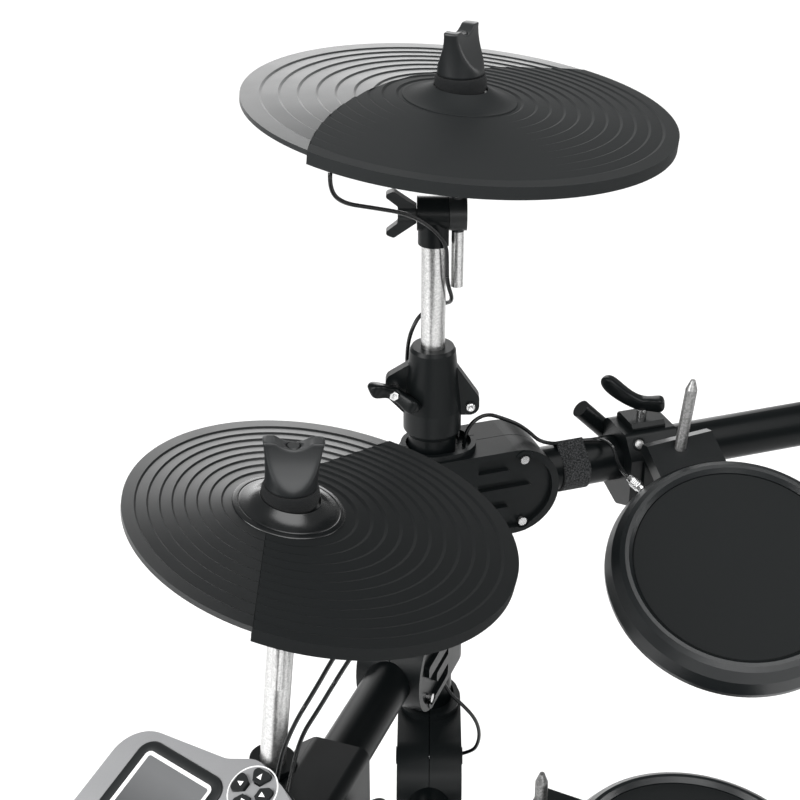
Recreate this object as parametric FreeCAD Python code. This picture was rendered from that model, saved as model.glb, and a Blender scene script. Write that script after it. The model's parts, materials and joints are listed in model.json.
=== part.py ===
"""Electronic drum kit on a tube rack: rubber pads, grooved cymbal pads and a sound module.

Units are millimetres. The drummer sits at -Y and looks along +Y, with +X to the right and +Z up.
"""
import FreeCAD, Part
import math
import os

V = FreeCAD.Vector

# Shared fits
RUN_GAP = 0.05
FIT_GAP = 0.1
CLEAR = 0.4
SEAM_GAP = 0.6
OVERRUN = 2.0
EDGE = 1.0
SAME_POINT = 0.0005
ROUND_SHARE = 0.98

# Rack tubes
TUBE_R = 19.0
TUBE_WALL = 1.6
POST_X = 345.0
CROSSBAR_Z = 745.0
ARM_Z = 620.0
SNARE_ARM_Z = 496.0
POST_TOP_Z = 816.0
ARM_REACH = 600.0
SNARE_REACH = 300.0
REAR_POST_ABOVE = 62.0
ARM_TURN_DEG = 230.5
SNARE_TURN_DEG = 250.3
FOOT_R = 25.0
FOOT_HEIGHT = 30.0
FOOT_SOLE = 8.0
CAP_LIP = 3.0
CAP_DEPTH = 16.0

# Clamshell castings
CAST_WALL = 8.0
CAST_HALF_HEIGHT = 39.0
CAST_END_X = 62.0
CAST_FLANK_Y = 27.0
CAST_BOLT_X = 70.0
CAST_BOLT_Z = 29.0
CAST_BOSS_R = 8.6
CAST_BOSS_RISE = 0.8
CAST_RECESS_R = 5.6
CAST_RECESS = 3.4
CAST_POCKET = 4.0
CAST_PANEL = 4.0
CAST_RIM = 6.0
CAST_BAR_ROUND = 3.0
CAST_PANEL_ROUND = 4.0
CAST_BARS = ((58.0, -22.0, -12.5), (77.0, -5.5, 5.5), (58.0, 12.5, 22.0))
CAST_LIP_HEIGHT = 5.0
CAST_LIP_WALL = 4.0
CAST_LIP_SHIFT = 11.0
BOLT_R = 2.6
BOLT_HEAD_R = 3.6
BOLT_HEAD = 3.0

# Post collars
COLLAR_Z = 800.0
COLLAR_HEIGHT = 75.0
COLLAR_FOOT_R = 20.5
COLLAR_R = 23.0
COLLAR_WAIST_R = 21.0
COLLAR_TOP_R = 16.5
COLLAR_CHAMFER = 4.0
EAR_REACH = 37.0
EAR_THICK = 9.0
EAR_BOLT_X = 30.0
EAR_BOLT_Z = 24.0
WING_EAR_Z = 41.0
EAR_HEIGHT = 62.0
EAR_ROUND = 7.8
COLLAR_FLARE_SHARE = 0.3
COLLAR_WAIST_SHARE = 0.55

# Wing bolts
WING_SPAN = 18.5
WING_HEIGHT = 25.0
WING_THICK = 8.0
WING_HUB_R = 6.5
WING_STEM = 6.0
WING_ROUND = 2.4
WING_EAR_SHARE = 0.68
WING_HUB_SHARE = 0.56

# Cymbal stands
STAND_R = 9.5
STAND_WALL = 1.2
ROD_R = 4.75
TILT_R = 13.0
TILT_SKIRT_R = 12.2
TILT_BASE_LEFT = 13.0
TILT_BASE_RIGHT = 11.0
TILT_SKIRT = 24.0
TILT_HEAD_WIDTH = 13.0
TILT_PIN_R = 3.5
TILT_SCREW = 12.0
TILT_GAP = 0.3
ROD_BELOW = 59.0
ROD_ABOVE = 136.0
PAD_ABOVE_PIVOT = 82.0
CYMBAL_PIVOT_Z = 985.0
CRASH_TILT_DEG = 5.0
CRASH_TUBE = 285.0
HIHAT_TUBE = 262.0
HIHAT_PIVOT_UP = 174.0
HIHAT_TILT_DEG = 11.6
FLANGE_UP = 76.5
FLANGE_R = 12.0
FLANGE = 3.0
VIEW_TURN_DEG = 18.8
CYMBALS = ("crash", "ride", "hihat")

# Cymbal pads
CRASH_R = 158.0
HIHAT_R = 129.0
HIHAT_SHIFT = 23.0
BELL_R = 36.0
BELL_TOP_R = 19.0
BOW_RISE = 7.5
BELL_RISE = 5.5
PAD_EDGE = 9.0
PLATE_EDGE = 3.6
PAD_LAYER = 3.5
PAD_SHELL = 3.0
GROOVE = 0.9
PLATE_GROOVE_COUNT = 8
RUBBER_GROOVE_COUNT = 11
GROOVE_WIDTH = 2.4
RUBBER_OVER = 1.5
CRASH_ZONE_FROM_DEG = -130.5
CRASH_ZONE_TO_DEG = 49.5
CRASH_ZONE_BULGE = 56.0
HIHAT_ZONE_FROM_DEG = -90.0
HIHAT_ZONE_TO_DEG = 50.0
HIHAT_ZONE_X = -12.5
HIHAT_ZONE_Y = 29.0
FELT_LOW_R = 15.0
HUB_CLEAR = 1.4
NUT_TURN_DEG = {"crash": 70.0, "ride": 40.0, "hihat": 0.0}
FELT_R = 19.0
FELT_HEIGHT = 9.0
NUT_R = 18.5
NUT_TOP_R = 19.5
NUT_HEIGHT = 37.0
NUT_BLADE = 11.0
NUT_SHOULDER = 7.0
NUT_NOTCH_R = 9.0
NUT_NECK_SHARE = 0.9
NUT_NECK_HEIGHT = 15.0

# Drum pads
PAD_R = 101.5
PAD_DEPTH = 34.0
PAD_BASE_R = 84.0
PAD_RIM_BAND = 20.0
PAD_TOP_R = 88.0
PAD_LIP = 6.0
PAD_WALL = 4.0
HEAD_DROP = 3.5
HEAD_THICK = 9.0
PAD_BEVEL_SHARE = 0.5
BRACKET_WIDTH = 56.0
BRACKET_REACH = 18.0
BRACKET_BACK = 11.0
BRACKET_HEIGHT = 18.0
BRACKET_INSET = 46.0
ROD_BEND_R = 15.0
ROD_TIP = 8.0
ROD_POINT_R = 1.9
ROD_OUT = 62.0
SNARE_ROD_OUT = 82.0
PAD_CLAMP_WIDTH = 46.0
PAD_CLAMP_BACK = 29.0
PAD_CLAMP_FRONT = 36.0
PAD_CLAMP_UP = 36.0
PAD_CLAMP_DOWN = 40.0
PAD_CLAMP_NOSE_DOWN = 28.0
PAD_CLAMP_NOSE_UP = 9.0
PAD_CLAMP_ROUND = 6.0
PAD_CLAMP_BACK_ROUND = 11.0
PAD_CLAMP_SHOULDER = 30.0
PAD_CLAMP_PLATE = 15.0
PAD_CLAMP_PLATE_EDGE = 3.0
PAD_CLAMP_RIB = 3.0
PAD_CLAMP_RIB_HALF = 12.0
PAD_CLAMP_STUB_R = 8.0
PAD_CLAMP_STUB = ((-10.0, 28.5, 2.0), (-41.0, 32.0, 33.0))
BRACKET_DROP = 8.0
BRACKET_TONGUE = 5.0
ROD_STICKS_OUT = 42.0
SNARE_STICKS_OUT = 22.0
CLAMP_STOP = 2.0
PADS = ("snare", "tom_1", "tom_2", "floor_tom")
TOM_CLAMP_AT = 186.0
TOM_TURN_DEG = 251.4
TOM_TILT_DEG = 27.0
TOM_BRACKET_DEG = 16.0
TOM_LEAN_DEG = 6.0
TOM_LEG_UP = 48.0
SNARE_CLAMP_AT = 211.0
SNARE_TURN_PAD_DEG = 318.0
SNARE_TILT_DEG = 4.0
SNARE_LEG_UP = 104.0
FLOOR_TOM_SHARE = 0.45
FLOOR_TOM_TILT_DEG = 12.0
FLOOR_TOM_LEG_UP = 60.0

# Hi-hat clamp and module clamp on the side arm
ARM_CLAMP_HALF = 29.0
ARM_CLAMP_LENGTH = 76.0
HIHAT_CLAMP_SHARE = 0.41667
HIHAT_CLAMP_BOSS_R = 17.0
HIHAT_CLAMP_OFFSET = 34.0
HIHAT_CLAMP_TOP = 33.0
HIHAT_LEAN_DEG = 5.5
ARM_CLAMP_ROUND = 8.0
ARM_CLAMP_SLOPE_HIGH = 17.0
ARM_CLAMP_SLOPE_IN = 14.0
MODULE_CLAMP_SHARE = 0.65833
MODULE_CLAMP_LENGTH = 40.0

# Module
MODULE_WIDTH = 180.0
MODULE_HEIGHT = 142.0
MODULE_BACK = 30.0
MODULE_FRONT = 14.0
MODULE_TURN_DEG = 212.0
SCREEN_WIDTH = 58.0
SCREEN_HEIGHT = 46.0
SCREEN_CORNER = 6.0
SCREEN_SINK = 2.0
BUTTON_RING_R = 14.0
BUTTON_HUB_R = 3.0
BUTTON_RISE = 2.6
BUTTON_SINK = 5.0
BUTTON_TRAVEL = 1.5
KNOB_R = 11.0
KNOB_RISE = 12.0
KNOB_STEM_R = 3.3
KNOB_TOP_R = 9.9
MODULE_PIVOT_R = 6.0
MODULE_BOSS_R = 9.6
MODULE_NECK = 20.0
MODULE_NECK_R = 8.2
MODULE_STEEP_DEG = 63.0
MODULE_PIVOT_UP = 60.0
MODULE_INSET = 1.0
MODULE_OUTLINE_SHARES = ((-0.51, -0.54, 0.13), (0.49, -0.54, 0.16), (0.49, 0.21, 0.19), (0.17, 0.41, 0.16),
                         (0.02, 0.465, 0.1), (-0.09, 0.395, 0.09), (-0.51, 0.325, 0.145))
SCREEN_X = -39.0
SCREEN_Y = 13.0
SCREEN_PROUD = 0.6
BUTTON_X = 14.0
BUTTON_Y = 47.0
BUTTON_SPLIT = 2.0
BUTTON_SPREAD_SHARE = 0.62
BUTTON_CORNER = 3.0
BUTTONS = ("module_button_right", "module_button_up", "module_button_left", "module_button_down")
KNOB_X = 54.0
KNOB_Y = 0.0

# Straps and cables
CABLE_R = 2.2
STRAP_WALL = 2.4
STRAP_WIDTH = 24.0
PLUG_R = 4.5
PLUG_LENGTH = 16.0
STRAP_AT = 121.0
CABLE_NODE = "pad_cables"
CABLE_OVER_TUBE = 0.4
CABLE_LEAD = 12.0
CABLE_REACH_SHARE = 0.45
TOM_JACK_DEG = 24.0
TOM_JACK_DOWN = 22.0
CRASH_JACK = (-88.0, -97.0, -5.8)
HIHAT_JACKS = ((75.0, -20.0, -2.8), (101.0, -3.0, -4.4))

# Cable runs, as (right, toward the drummer, up) from the left post's axis at the collar's foot
CRASH_RUN = ((-66.0, 88.0, 227.0), (-45.0, 62.0, 213.5), (-20.0, 34.0, 198.0), (-3.0, 21.0, 183.0),
             (9.0, 14.0, 166.0), (12.0, 10.0, 148.0), (12.5, 9.0, 132.0), (15.5, -2.0, 112.0),
             (8.0, -15.0, 104.0), (-9.0, -14.5, 97.0), (-17.0, -8.0, 84.0), (-20.0, -12.0, 66.0),
             (-20.0, -18.0, 40.0), (-10.0, -26.0, 20.0), (8.0, -27.0, 8.0), (21.0, -20.0, -1.0),
             (22.1, -13.8, -14.6))
HIHAT_RUNS = (((-42.0, 264.5, 13.0), (-57.0, 262.0, -5.0), (-69.0, 262.0, -26.0), (-83.0, 262.0, -55.0),
               (-97.0, 262.0, -82.0), (-107.0, 264.0, -108.0), (-112.0, 276.0, -134.0), (-118.0, 299.0, -153.0),
               (-126.0, 321.5, -159.0), (-136.2, 348.7, -159.0)),
              ((-17.0, 248.0, 5.0), (-32.0, 245.5, -10.0), (-46.0, 245.0, -21.0), (-58.0, 245.0, -38.5),
               (-70.0, 245.0, -61.0), (-82.0, 245.0, -85.0), (-95.0, 248.0, -107.0), (-102.0, 264.0, -131.0),
               (-107.0, 289.0, -152.0), (-116.6, 319.6, -159.0), (-128.8, 351.5, -159.0)))
LOOP_RUN = ((10.0, 24.0, -219.5), (10.5, 24.5, -230.0), (17.0, 26.0, -243.0), (29.0, 26.0, -256.0),
            (39.0, 24.0, -271.0), (43.5, 21.0, -287.0), (43.0, 18.0, -303.0), (38.0, 15.5, -315.0),
            (29.7, 14.0, -320.0))
# The tom cable's run, as (along the crossbar, back, up) from the same point
TOM_RUN = ((25.0, -6.0, -15.6), (25.5, -6.0, -5.0), (33.0, -6.0, 6.0), (45.0, -5.0, 9.5), (58.0, -4.0, 3.0),
           (78.0, -3.0, -9.0), (99.0, 0.0, -33.4), (146.0, 0.0, -33.4), (151.0, -23.0, -29.0))


def unit(vector):
    """Return the vector at length one."""
    length = vector.Length
    return V(vector.x / length, vector.y / length, vector.z / length)


def heading(degrees):
    """Return the level unit vector at an angle from +X."""
    angle = math.radians(degrees)
    return V(math.cos(angle), math.sin(angle), 0)


def placed(shape, origin, x_axis, z_axis):
    """Return a copy of a shape moved from its own axes to the given ones."""
    z_unit = unit(z_axis)
    y_unit = unit(z_unit.cross(x_axis))
    x_unit = y_unit.cross(z_unit)
    matrix = FreeCAD.Matrix(
        x_unit.x, y_unit.x, z_unit.x, origin.x,
        x_unit.y, y_unit.y, z_unit.y, origin.y,
        x_unit.z, y_unit.z, z_unit.z, origin.z,
        0, 0, 0, 1)
    moved = shape.copy()
    moved.transformShape(matrix)
    return moved


def cylinder(radius, start, end):
    """Return a solid cylinder between two points."""
    along = end - start
    return Part.makeCylinder(radius, along.Length, start, along)


def tube(radius, wall, start, end):
    """Return a hollow tube between two points."""
    return cylinder(radius, start, end).cut(cylinder(radius - wall, start, end))


def block(x_min, x_max, y_min, y_max, z_min, z_max):
    """Return a box between two corners."""
    return Part.makeBox(x_max - x_min, y_max - y_min, z_max - z_min, V(x_min, y_min, z_min))


def turned(points):
    """Return the solid that (radius, height) points sweep about Z."""
    corners = [V(radius, 0, height) for radius, height in points]
    face = Part.Face(Part.makePolygon(corners + corners[:1]))
    return face.revolve(V(0, 0, 0), V(0, 0, 1), 360)


def rounded_wire(corners):
    """Return a closed wire in XY through (x, y, radius) corners, with tangent arcs."""
    edges = []
    starts = []
    ends = []
    arcs = []
    count = len(corners)
    for index in range(count):
        here = V(corners[index][0], corners[index][1], 0)
        before = V(corners[index - 1][0], corners[index - 1][1], 0)
        after = V(corners[(index + 1) % count][0], corners[(index + 1) % count][1], 0)
        radius = corners[index][2]
        back = unit(before - here)
        ahead = unit(after - here)
        if radius == 0:
            starts.append(here)
            ends.append(here)
            arcs.append(None)
            continue
        half = math.acos(max(-1, min(1, back.dot(ahead)))) / 2
        reach = radius / math.tan(half)
        centre = here + unit(back + ahead) * (radius / math.sin(half))
        start = here + back * reach
        end = here + ahead * reach
        middle = centre + unit(here - centre) * radius
        starts.append(start)
        ends.append(end)
        arcs.append(Part.Arc(start, middle, end).toShape())
    for index in range(count):
        if arcs[index] is not None:
            edges.append(arcs[index])
        following = (index + 1) % count
        if (starts[following] - ends[index]).Length > SAME_POINT:
            edges.append(Part.LineSegment(ends[index], starts[following]).toShape())
    return Part.Wire(edges)


def prism(corners, low, high):
    """Return rounded corners in XY raised between two heights."""
    face = Part.Face(rounded_wire(corners))
    solid = face.extrude(V(0, 0, high - low))
    solid.translate(V(0, 0, low))
    return solid


def joined(shapes):
    """Return shapes fused into one, with split faces merged."""
    fused = shapes[0].multiFuse(shapes[1:])
    return fused.removeSplitter()


def upright(shape):
    """Return a shape drawn in XY with its Y turned up to +Z and its +Z turned to -Y."""
    stood = shape.copy()
    stood.rotate(V(0, 0, 0), V(1, 0, 0), 90)
    return stood


# Places that several pieces share
def post_point(side, height):
    """Return a point on a front post's axis; side is -1 for left and 1 for right."""
    return V(side * POST_X, 0, height)


def arm_direction(side):
    """Return the way a side arm runs from its front post."""
    left = heading(ARM_TURN_DEG)
    return V(-side * left.x, left.y, 0)


def rear_point(side, height):
    """Return a point on a rear post's axis."""
    return post_point(side, height) + arm_direction(side) * ARM_REACH


def snare_direction():
    """Return the way the snare arm runs from the left post."""
    return heading(SNARE_TURN_DEG)


def joints():
    """Return each casting's post point and the way its barrel runs."""
    across = V(1, 0, 0)
    corner = [(post_point(-1, CROSSBAR_Z), across), (post_point(1, CROSSBAR_Z), across * -1)]
    arm = []
    for side in (-1, 1):
        along = arm_direction(side)
        arm.append((post_point(side, ARM_Z), along))
        arm.append((rear_point(side, ARM_Z), along * -1))
    snare = [(post_point(-1, SNARE_ARM_Z), snare_direction())]
    return corner, arm, snare


# Rack tubes and feet
def crossbar():
    inset = TUBE_R + FIT_GAP
    return tube(TUBE_R, TUBE_WALL, V(-POST_X + inset, 0, CROSSBAR_Z), V(POST_X - inset, 0, CROSSBAR_Z))


def posts():
    tops = []
    for side in (-1, 1):
        tops.append(tube(TUBE_R, TUBE_WALL, post_point(side, FOOT_SOLE), post_point(side, POST_TOP_Z)))
        rear_top = ARM_Z + REAR_POST_ABOVE
        tops.append(tube(TUBE_R, TUBE_WALL, rear_point(side, FOOT_SOLE), rear_point(side, rear_top)))
    return Part.makeCompound(tops)


def rack_arms():
    inset = TUBE_R + FIT_GAP
    arms = []
    for side in (-1, 1):
        along = arm_direction(side)
        start = post_point(side, ARM_Z) + along * inset
        arms.append(tube(TUBE_R, TUBE_WALL, start, start + along * (ARM_REACH - inset * 2)))
    along = snare_direction()
    start = post_point(-1, SNARE_ARM_Z)
    arms.append(tube(TUBE_R, TUBE_WALL, start + along * inset, start + along * SNARE_REACH))
    return Part.makeCompound(arms)


def rubber_foot(at):
    """Return a cup foot under a post: flared sole, straight wall."""
    bore = TUBE_R + FIT_GAP
    profile = [(0, 0), (FOOT_R, 0), (FOOT_R, FOOT_SOLE), (TUBE_R + CAP_LIP, FOOT_HEIGHT), (bore, FOOT_HEIGHT),
               (bore, FOOT_SOLE), (0, FOOT_SOLE)]
    foot = turned(profile)
    foot.translate(at)
    return foot


def end_cap(at, outward):
    """Return a tube's end plug with a domed lip."""
    bore = TUBE_R - TUBE_WALL - FIT_GAP
    profile = [(0, -CAP_DEPTH), (bore, -CAP_DEPTH), (bore, 0), (TUBE_R, 0), (TUBE_R - CAP_LIP / 2, CAP_LIP),
               (0, CAP_LIP)]
    side = V(0, 0, 1) if abs(outward.z) < 0.5 else V(1, 0, 0)
    return placed(turned(profile), at, side, outward)


def rubber_feet():
    pieces = []
    for side in (-1, 1):
        pieces.append(rubber_foot(post_point(side, 0)))
        pieces.append(rubber_foot(rear_point(side, 0)))
        pieces.append(end_cap(rear_point(side, ARM_Z + REAR_POST_ABOVE), V(0, 0, 1)))
    snare_end = post_point(-1, SNARE_ARM_Z) + snare_direction() * SNARE_REACH
    pieces.append(end_cap(snare_end, snare_direction()))
    return Part.makeCompound(pieces)


# Clamshell castings
def flank_panel(depth_from, depth_to):
    """Return the sunk part of a casting's flank: inside its rim, round its bosses and between its bars."""
    left = TUBE_R + CAST_WALL + CAST_RIM / 2
    high = CAST_HALF_HEIGHT - CAST_RIM
    right = CAST_END_X + high
    nose = high * ROUND_SHARE
    soft = CAST_PANEL_ROUND
    panel = upright(prism([(left, -high, soft), (right, -high, nose), (right, high, nose), (left, high, soft)],
                          depth_from, depth_to))
    kept = []
    for height in (-CAST_BOLT_Z, CAST_BOLT_Z):
        kept.append(cylinder(CAST_BOSS_R, V(CAST_BOLT_X, depth_from - OVERRUN, height),
                             V(CAST_BOLT_X, depth_to + OVERRUN, height)))
    for reach, low, top in CAST_BARS:
        corners = [(left - OVERRUN, low, 0), (reach, low, CAST_BAR_ROUND), (reach, top, CAST_BAR_ROUND),
                   (left - OVERRUN, top, 0)]
        kept.append(upright(prism(corners, depth_from - OVERRUN, depth_to + OVERRUN)))
    return panel.cut(Part.makeCompound(kept))


def lip_outline(radius):
    """Return the long rounded outline of a casting's lip, at a radius from the post and the cable gap."""
    round_r = radius * ROUND_SHARE
    return [(-radius, -radius, round_r), (radius + CAST_LIP_SHIFT, -radius, round_r),
            (radius + CAST_LIP_SHIFT, radius, round_r), (-radius, radius, round_r)]


def casting():
    """Return a whole casting about its post axis, barrel along +X, before it is split."""
    sleeve_r = TUBE_R + CAST_WALL
    end = CAST_END_X + CAST_HALF_HEIGHT
    nose = CAST_HALF_HEIGHT * ROUND_SHARE
    outline = [(0, -CAST_HALF_HEIGHT, 0), (end, -CAST_HALF_HEIGHT, nose), (end, CAST_HALF_HEIGHT, nose),
               (0, CAST_HALF_HEIGHT, 0)]
    flank = upright(prism(outline, -CAST_FLANK_Y, CAST_FLANK_Y))
    sleeve = cylinder(sleeve_r, V(0, 0, -CAST_HALF_HEIGHT), V(0, 0, CAST_HALF_HEIGHT))
    lip_r = sleeve_r - CAST_LIP_WALL / 2
    lip_top = CAST_HALF_HEIGHT + CAST_LIP_HEIGHT
    lip = prism(lip_outline(lip_r), CAST_HALF_HEIGHT - OVERRUN, lip_top)
    gap = prism(lip_outline(lip_r - CAST_LIP_WALL), CAST_HALF_HEIGHT - CAST_POCKET, lip_top + OVERRUN)
    lip = lip.cut(gap)
    bosses = []
    for height in (-CAST_BOLT_Z, CAST_BOLT_Z):
        reach = CAST_FLANK_Y + CAST_BOSS_RISE
        bosses.append(cylinder(CAST_BOSS_R, V(CAST_BOLT_X, -reach, height), V(CAST_BOLT_X, reach, height)))
    barrel = cylinder(sleeve_r, V(0, 0, 0), V(CAST_END_X + CAST_HALF_HEIGHT / 2, 0, 0))
    body = joined([flank, sleeve, barrel, lip] + bosses)
    cuts = [cylinder(TUBE_R + FIT_GAP, V(0, 0, -lip_top - OVERRUN), V(0, 0, lip_top + OVERRUN)),
            cylinder(TUBE_R + FIT_GAP, V(0, 0, 0), V(end + OVERRUN, 0, 0))]
    for height in (-CAST_BOLT_Z, CAST_BOLT_Z):
        reach = CAST_FLANK_Y + CAST_BOSS_RISE + OVERRUN
        cuts.append(cylinder(BOLT_R + FIT_GAP, V(CAST_BOLT_X, -reach, height), V(CAST_BOLT_X, reach, height)))
        seat = CAST_FLANK_Y + CAST_BOSS_RISE - CAST_RECESS
        for side in (-1, 1):
            cuts.append(cylinder(CAST_RECESS_R, V(CAST_BOLT_X, side * seat, height),
                                 V(CAST_BOLT_X, side * reach, height)))
    body = body.cut(Part.makeCompound(cuts))
    for face_from, face_to in ((CAST_FLANK_Y - CAST_PANEL, CAST_FLANK_Y + OVERRUN),
                               (-CAST_FLANK_Y - OVERRUN, -CAST_FLANK_Y + CAST_PANEL)):
        body = body.cut(flank_panel(face_from, face_to))
    return body


def split_casting(whole):
    """Return the two half shells of a casting, parted along its seam."""
    span = CAST_END_X + CAST_HALF_HEIGHT * 2
    halves = []
    for side in (-1, 1):
        near = side * SEAM_GAP / 2
        far = side * span
        keep = block(-span, span, min(near, far), max(near, far), -span, span)
        halves.append(whole.common(keep))
    return halves


def castings(places):
    """Return the half shells of castings at the given places."""
    halves = split_casting(casting())
    shells = []
    for point, along in places:
        for half in halves:
            shells.append(placed(half, point, along, V(0, 0, 1)))
    return Part.makeCompound(shells)


def cross_bolt():
    """Return one casting bolt along Y with a round head and a nut."""
    seat = CAST_FLANK_Y + CAST_BOSS_RISE - CAST_RECESS
    end = seat + BOLT_HEAD
    profile = [(0, -end), (BOLT_HEAD_R, -end), (BOLT_HEAD_R, -seat), (BOLT_R, -seat), (BOLT_R, seat),
               (BOLT_HEAD_R, seat), (BOLT_HEAD_R, end), (0, end)]
    bolt = turned(profile)
    return upright(bolt)


def joint_bolts():
    bolts = []
    for group in joints():
        for point, along in group:
            for height in (-CAST_BOLT_Z, CAST_BOLT_Z):
                bolt = cross_bolt()
                bolt.translate(V(CAST_BOLT_X, 0, height))
                bolts.append(placed(bolt, point, along, V(0, 0, 1)))
    return Part.makeCompound(bolts)


# Wing bolts and post collars
def wing_bolt(shank):
    """Return a wing bolt along +Z: shank below zero, hub and two swept ears above."""
    tip = WING_SPAN - WING_HUB_R / 2
    ear = WING_HEIGHT * WING_EAR_SHARE
    top = WING_HEIGHT * WING_HUB_SHARE
    soft = WING_ROUND
    corners = [(-WING_HUB_R, 0, 0), (WING_HUB_R, 0, 0), (WING_SPAN, ear, soft), (tip, WING_HEIGHT, soft),
               (WING_HUB_R, top, soft), (-WING_HUB_R, top, soft), (-tip, WING_HEIGHT, soft),
               (-WING_SPAN, ear, soft)]
    ears = upright(prism(corners, -WING_THICK / 2, WING_THICK / 2))
    hub = cylinder(WING_HUB_R, V(0, 0, 0), V(0, 0, top))
    stem = cylinder(BOLT_R, V(0, 0, -shank), V(0, 0, OVERRUN))
    return joined([ears, hub, stem])


def ear_direction(side):
    """Return the way a collar's bolt ear points."""
    return heading(-VIEW_TURN_DEG) if side < 0 else heading(180 + VIEW_TURN_DEG)


def post_collar(side):
    """Return the sleeve on a front post's top that narrows to the stand tube."""
    seat = POST_TOP_Z - COLLAR_Z + FIT_GAP
    wide = TUBE_R + FIT_GAP
    narrow = STAND_R + RUN_GAP
    profile = [(wide, 0), (COLLAR_FOOT_R, 0), (COLLAR_R, COLLAR_CHAMFER),
               (COLLAR_R, COLLAR_HEIGHT * COLLAR_FLARE_SHARE),
               (COLLAR_WAIST_R, COLLAR_HEIGHT * COLLAR_WAIST_SHARE),
               (COLLAR_TOP_R + CAP_LIP / 2, COLLAR_HEIGHT - CAP_LIP),
               (COLLAR_TOP_R, COLLAR_HEIGHT), (narrow, COLLAR_HEIGHT), (narrow, seat), (wide, seat)]
    rim = EAR_ROUND
    ear = [(-COLLAR_WAIST_R, EAR_BOLT_Z - rim, 0), (EAR_REACH, EAR_BOLT_Z - rim, rim),
           (EAR_REACH, EAR_BOLT_Z + rim, rim), (COLLAR_TOP_R, EAR_HEIGHT, 0), (-COLLAR_TOP_R, EAR_HEIGHT, 0),
           (-EAR_REACH, WING_EAR_Z + rim, rim), (-EAR_REACH, WING_EAR_Z - rim, rim)]
    plate = upright(prism(ear, -EAR_THICK / 2, EAR_THICK / 2))
    plate = plate.cut(cylinder(COLLAR_TOP_R, V(0, 0, 0), V(0, 0, COLLAR_HEIGHT)))
    body = joined([turned(profile), plate])
    body = body.cut(cylinder(wide, V(0, 0, -OVERRUN), V(0, 0, seat)))
    for x, height in ((-EAR_BOLT_X, WING_EAR_Z), (EAR_BOLT_X, EAR_BOLT_Z)):
        hole = cylinder(BOLT_R + FIT_GAP, V(x, -EAR_THICK, height), V(x, EAR_THICK, height))
        body = body.cut(hole)
    return placed(body, post_point(side, COLLAR_Z), ear_direction(side), V(0, 0, 1))


def post_collars():
    return Part.makeCompound([post_collar(side) for side in (-1, 1)])


def collar_bolts(side):
    """Return a collar's two ear bolts: one plain, one with wings toward the drummer."""
    along = ear_direction(side)
    toward = V(along.y, -along.x, 0) if side < 0 else V(-along.y, along.x, 0)
    face = EAR_THICK / 2
    wing_at = post_point(side, COLLAR_Z + WING_EAR_Z) - along * EAR_BOLT_X
    wing = placed(wing_bolt(EAR_THICK), wing_at + toward * face, along, toward)
    centre = post_point(side, COLLAR_Z + EAR_BOLT_Z)
    head = [(0, -EAR_THICK), (BOLT_R, -EAR_THICK), (BOLT_R, 0), (BOLT_HEAD_R, 0), (BOLT_HEAD_R, BOLT_HEAD),
            (0, BOLT_HEAD)]
    plain = placed(turned(head), centre + along * EAR_BOLT_X + toward * face, along, toward)
    return [wing, plain]


# Cymbal stands
def cymbal_place(name):
    """Return a cymbal's pivot, stand direction, tilt axis and rod direction."""
    if name == "hihat":
        stand = hihat_stand_direction()
        toward = heading(-VIEW_TURN_DEG - 90)
        axis = unit(toward - stand * toward.dot(stand))
        return hihat_stand_point() + stand * HIHAT_PIVOT_UP, stand, axis, stand
    side = -1 if name == "crash" else 1
    return post_point(side, CYMBAL_PIVOT_Z), V(0, 0, 1), ear_direction(side), V(0, 0, 1)


def pad_aside(name):
    """Return the level direction from a cymbal's plate to its rubber."""
    return heading(180 + VIEW_TURN_DEG) if name == "ride" else heading(-VIEW_TURN_DEG)


def pad_normal(name):
    """Return the way a cymbal pad faces as it rests rocked over on its felt."""
    return tilted(pad_aside(name), HIHAT_TILT_DEG if name == "hihat" else CRASH_TILT_DEG)


def hihat_clamp_point():
    """Return the point on the left arm's axis that the hi-hat clamp grips."""
    return post_point(-1, ARM_Z) + arm_direction(-1) * ARM_REACH * HIHAT_CLAMP_SHARE


def outward_of_arm():
    """Return the level direction from the left arm's axis to its outer side."""
    along = arm_direction(-1)
    return V(along.y, -along.x, 0)


def hihat_stand_direction():
    lean = math.radians(HIHAT_LEAN_DEG)
    return unit(outward_of_arm() * -math.sin(lean) + V(0, 0, math.cos(lean)))


def hihat_stand_point():
    return hihat_clamp_point() + outward_of_arm() * HIHAT_CLAMP_OFFSET


def stand_tube(name):
    """Return a cymbal's stand tube from its tilter down through its holder."""
    pivot, stand, axis, rod = cymbal_place(name)
    top = pivot - stand * (TILT_R / 2)
    reach = HIHAT_TUBE if name == "hihat" else CRASH_TUBE
    return tube(STAND_R, STAND_WALL, top - stand * reach, top)


def tilter_base(name):
    """Return the fixed half of a tilter: a skirt on the tube and a cross barrel with its screw hole."""
    pivot, stand, axis, rod = cymbal_place(name)
    skirt = cylinder(TILT_SKIRT_R, V(0, 0, -TILT_SKIRT), V(0, 0, 0))
    skirt = skirt.common(block(-TILT_R, TILT_BASE_RIGHT, -TILT_R, TILT_R, -TILT_SKIRT, 0))
    barrel = cylinder(TILT_R, V(-TILT_BASE_LEFT, 0, 0), V(TILT_BASE_RIGHT, 0, 0))
    body = joined([skirt, barrel])
    body = body.cut(cylinder(STAND_R + FIT_GAP, V(0, 0, -TILT_SKIRT - OVERRUN), V(0, 0, -TILT_R / 2)))
    body = body.cut(cylinder(TILT_PIN_R + RUN_GAP, V(-TILT_R * 2, 0, 0), V(TILT_R * 2, 0, 0)))
    return placed(body, pivot, axis, stand)


def rod_axis(name):
    """Return a point on a cymbal's rod beside its pivot, and the rod's direction."""
    pivot, stand, axis, rod = cymbal_place(name)
    return pivot + axis * (TILT_BASE_RIGHT + TILT_GAP + TILT_HEAD_WIDTH / 2), rod


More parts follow.
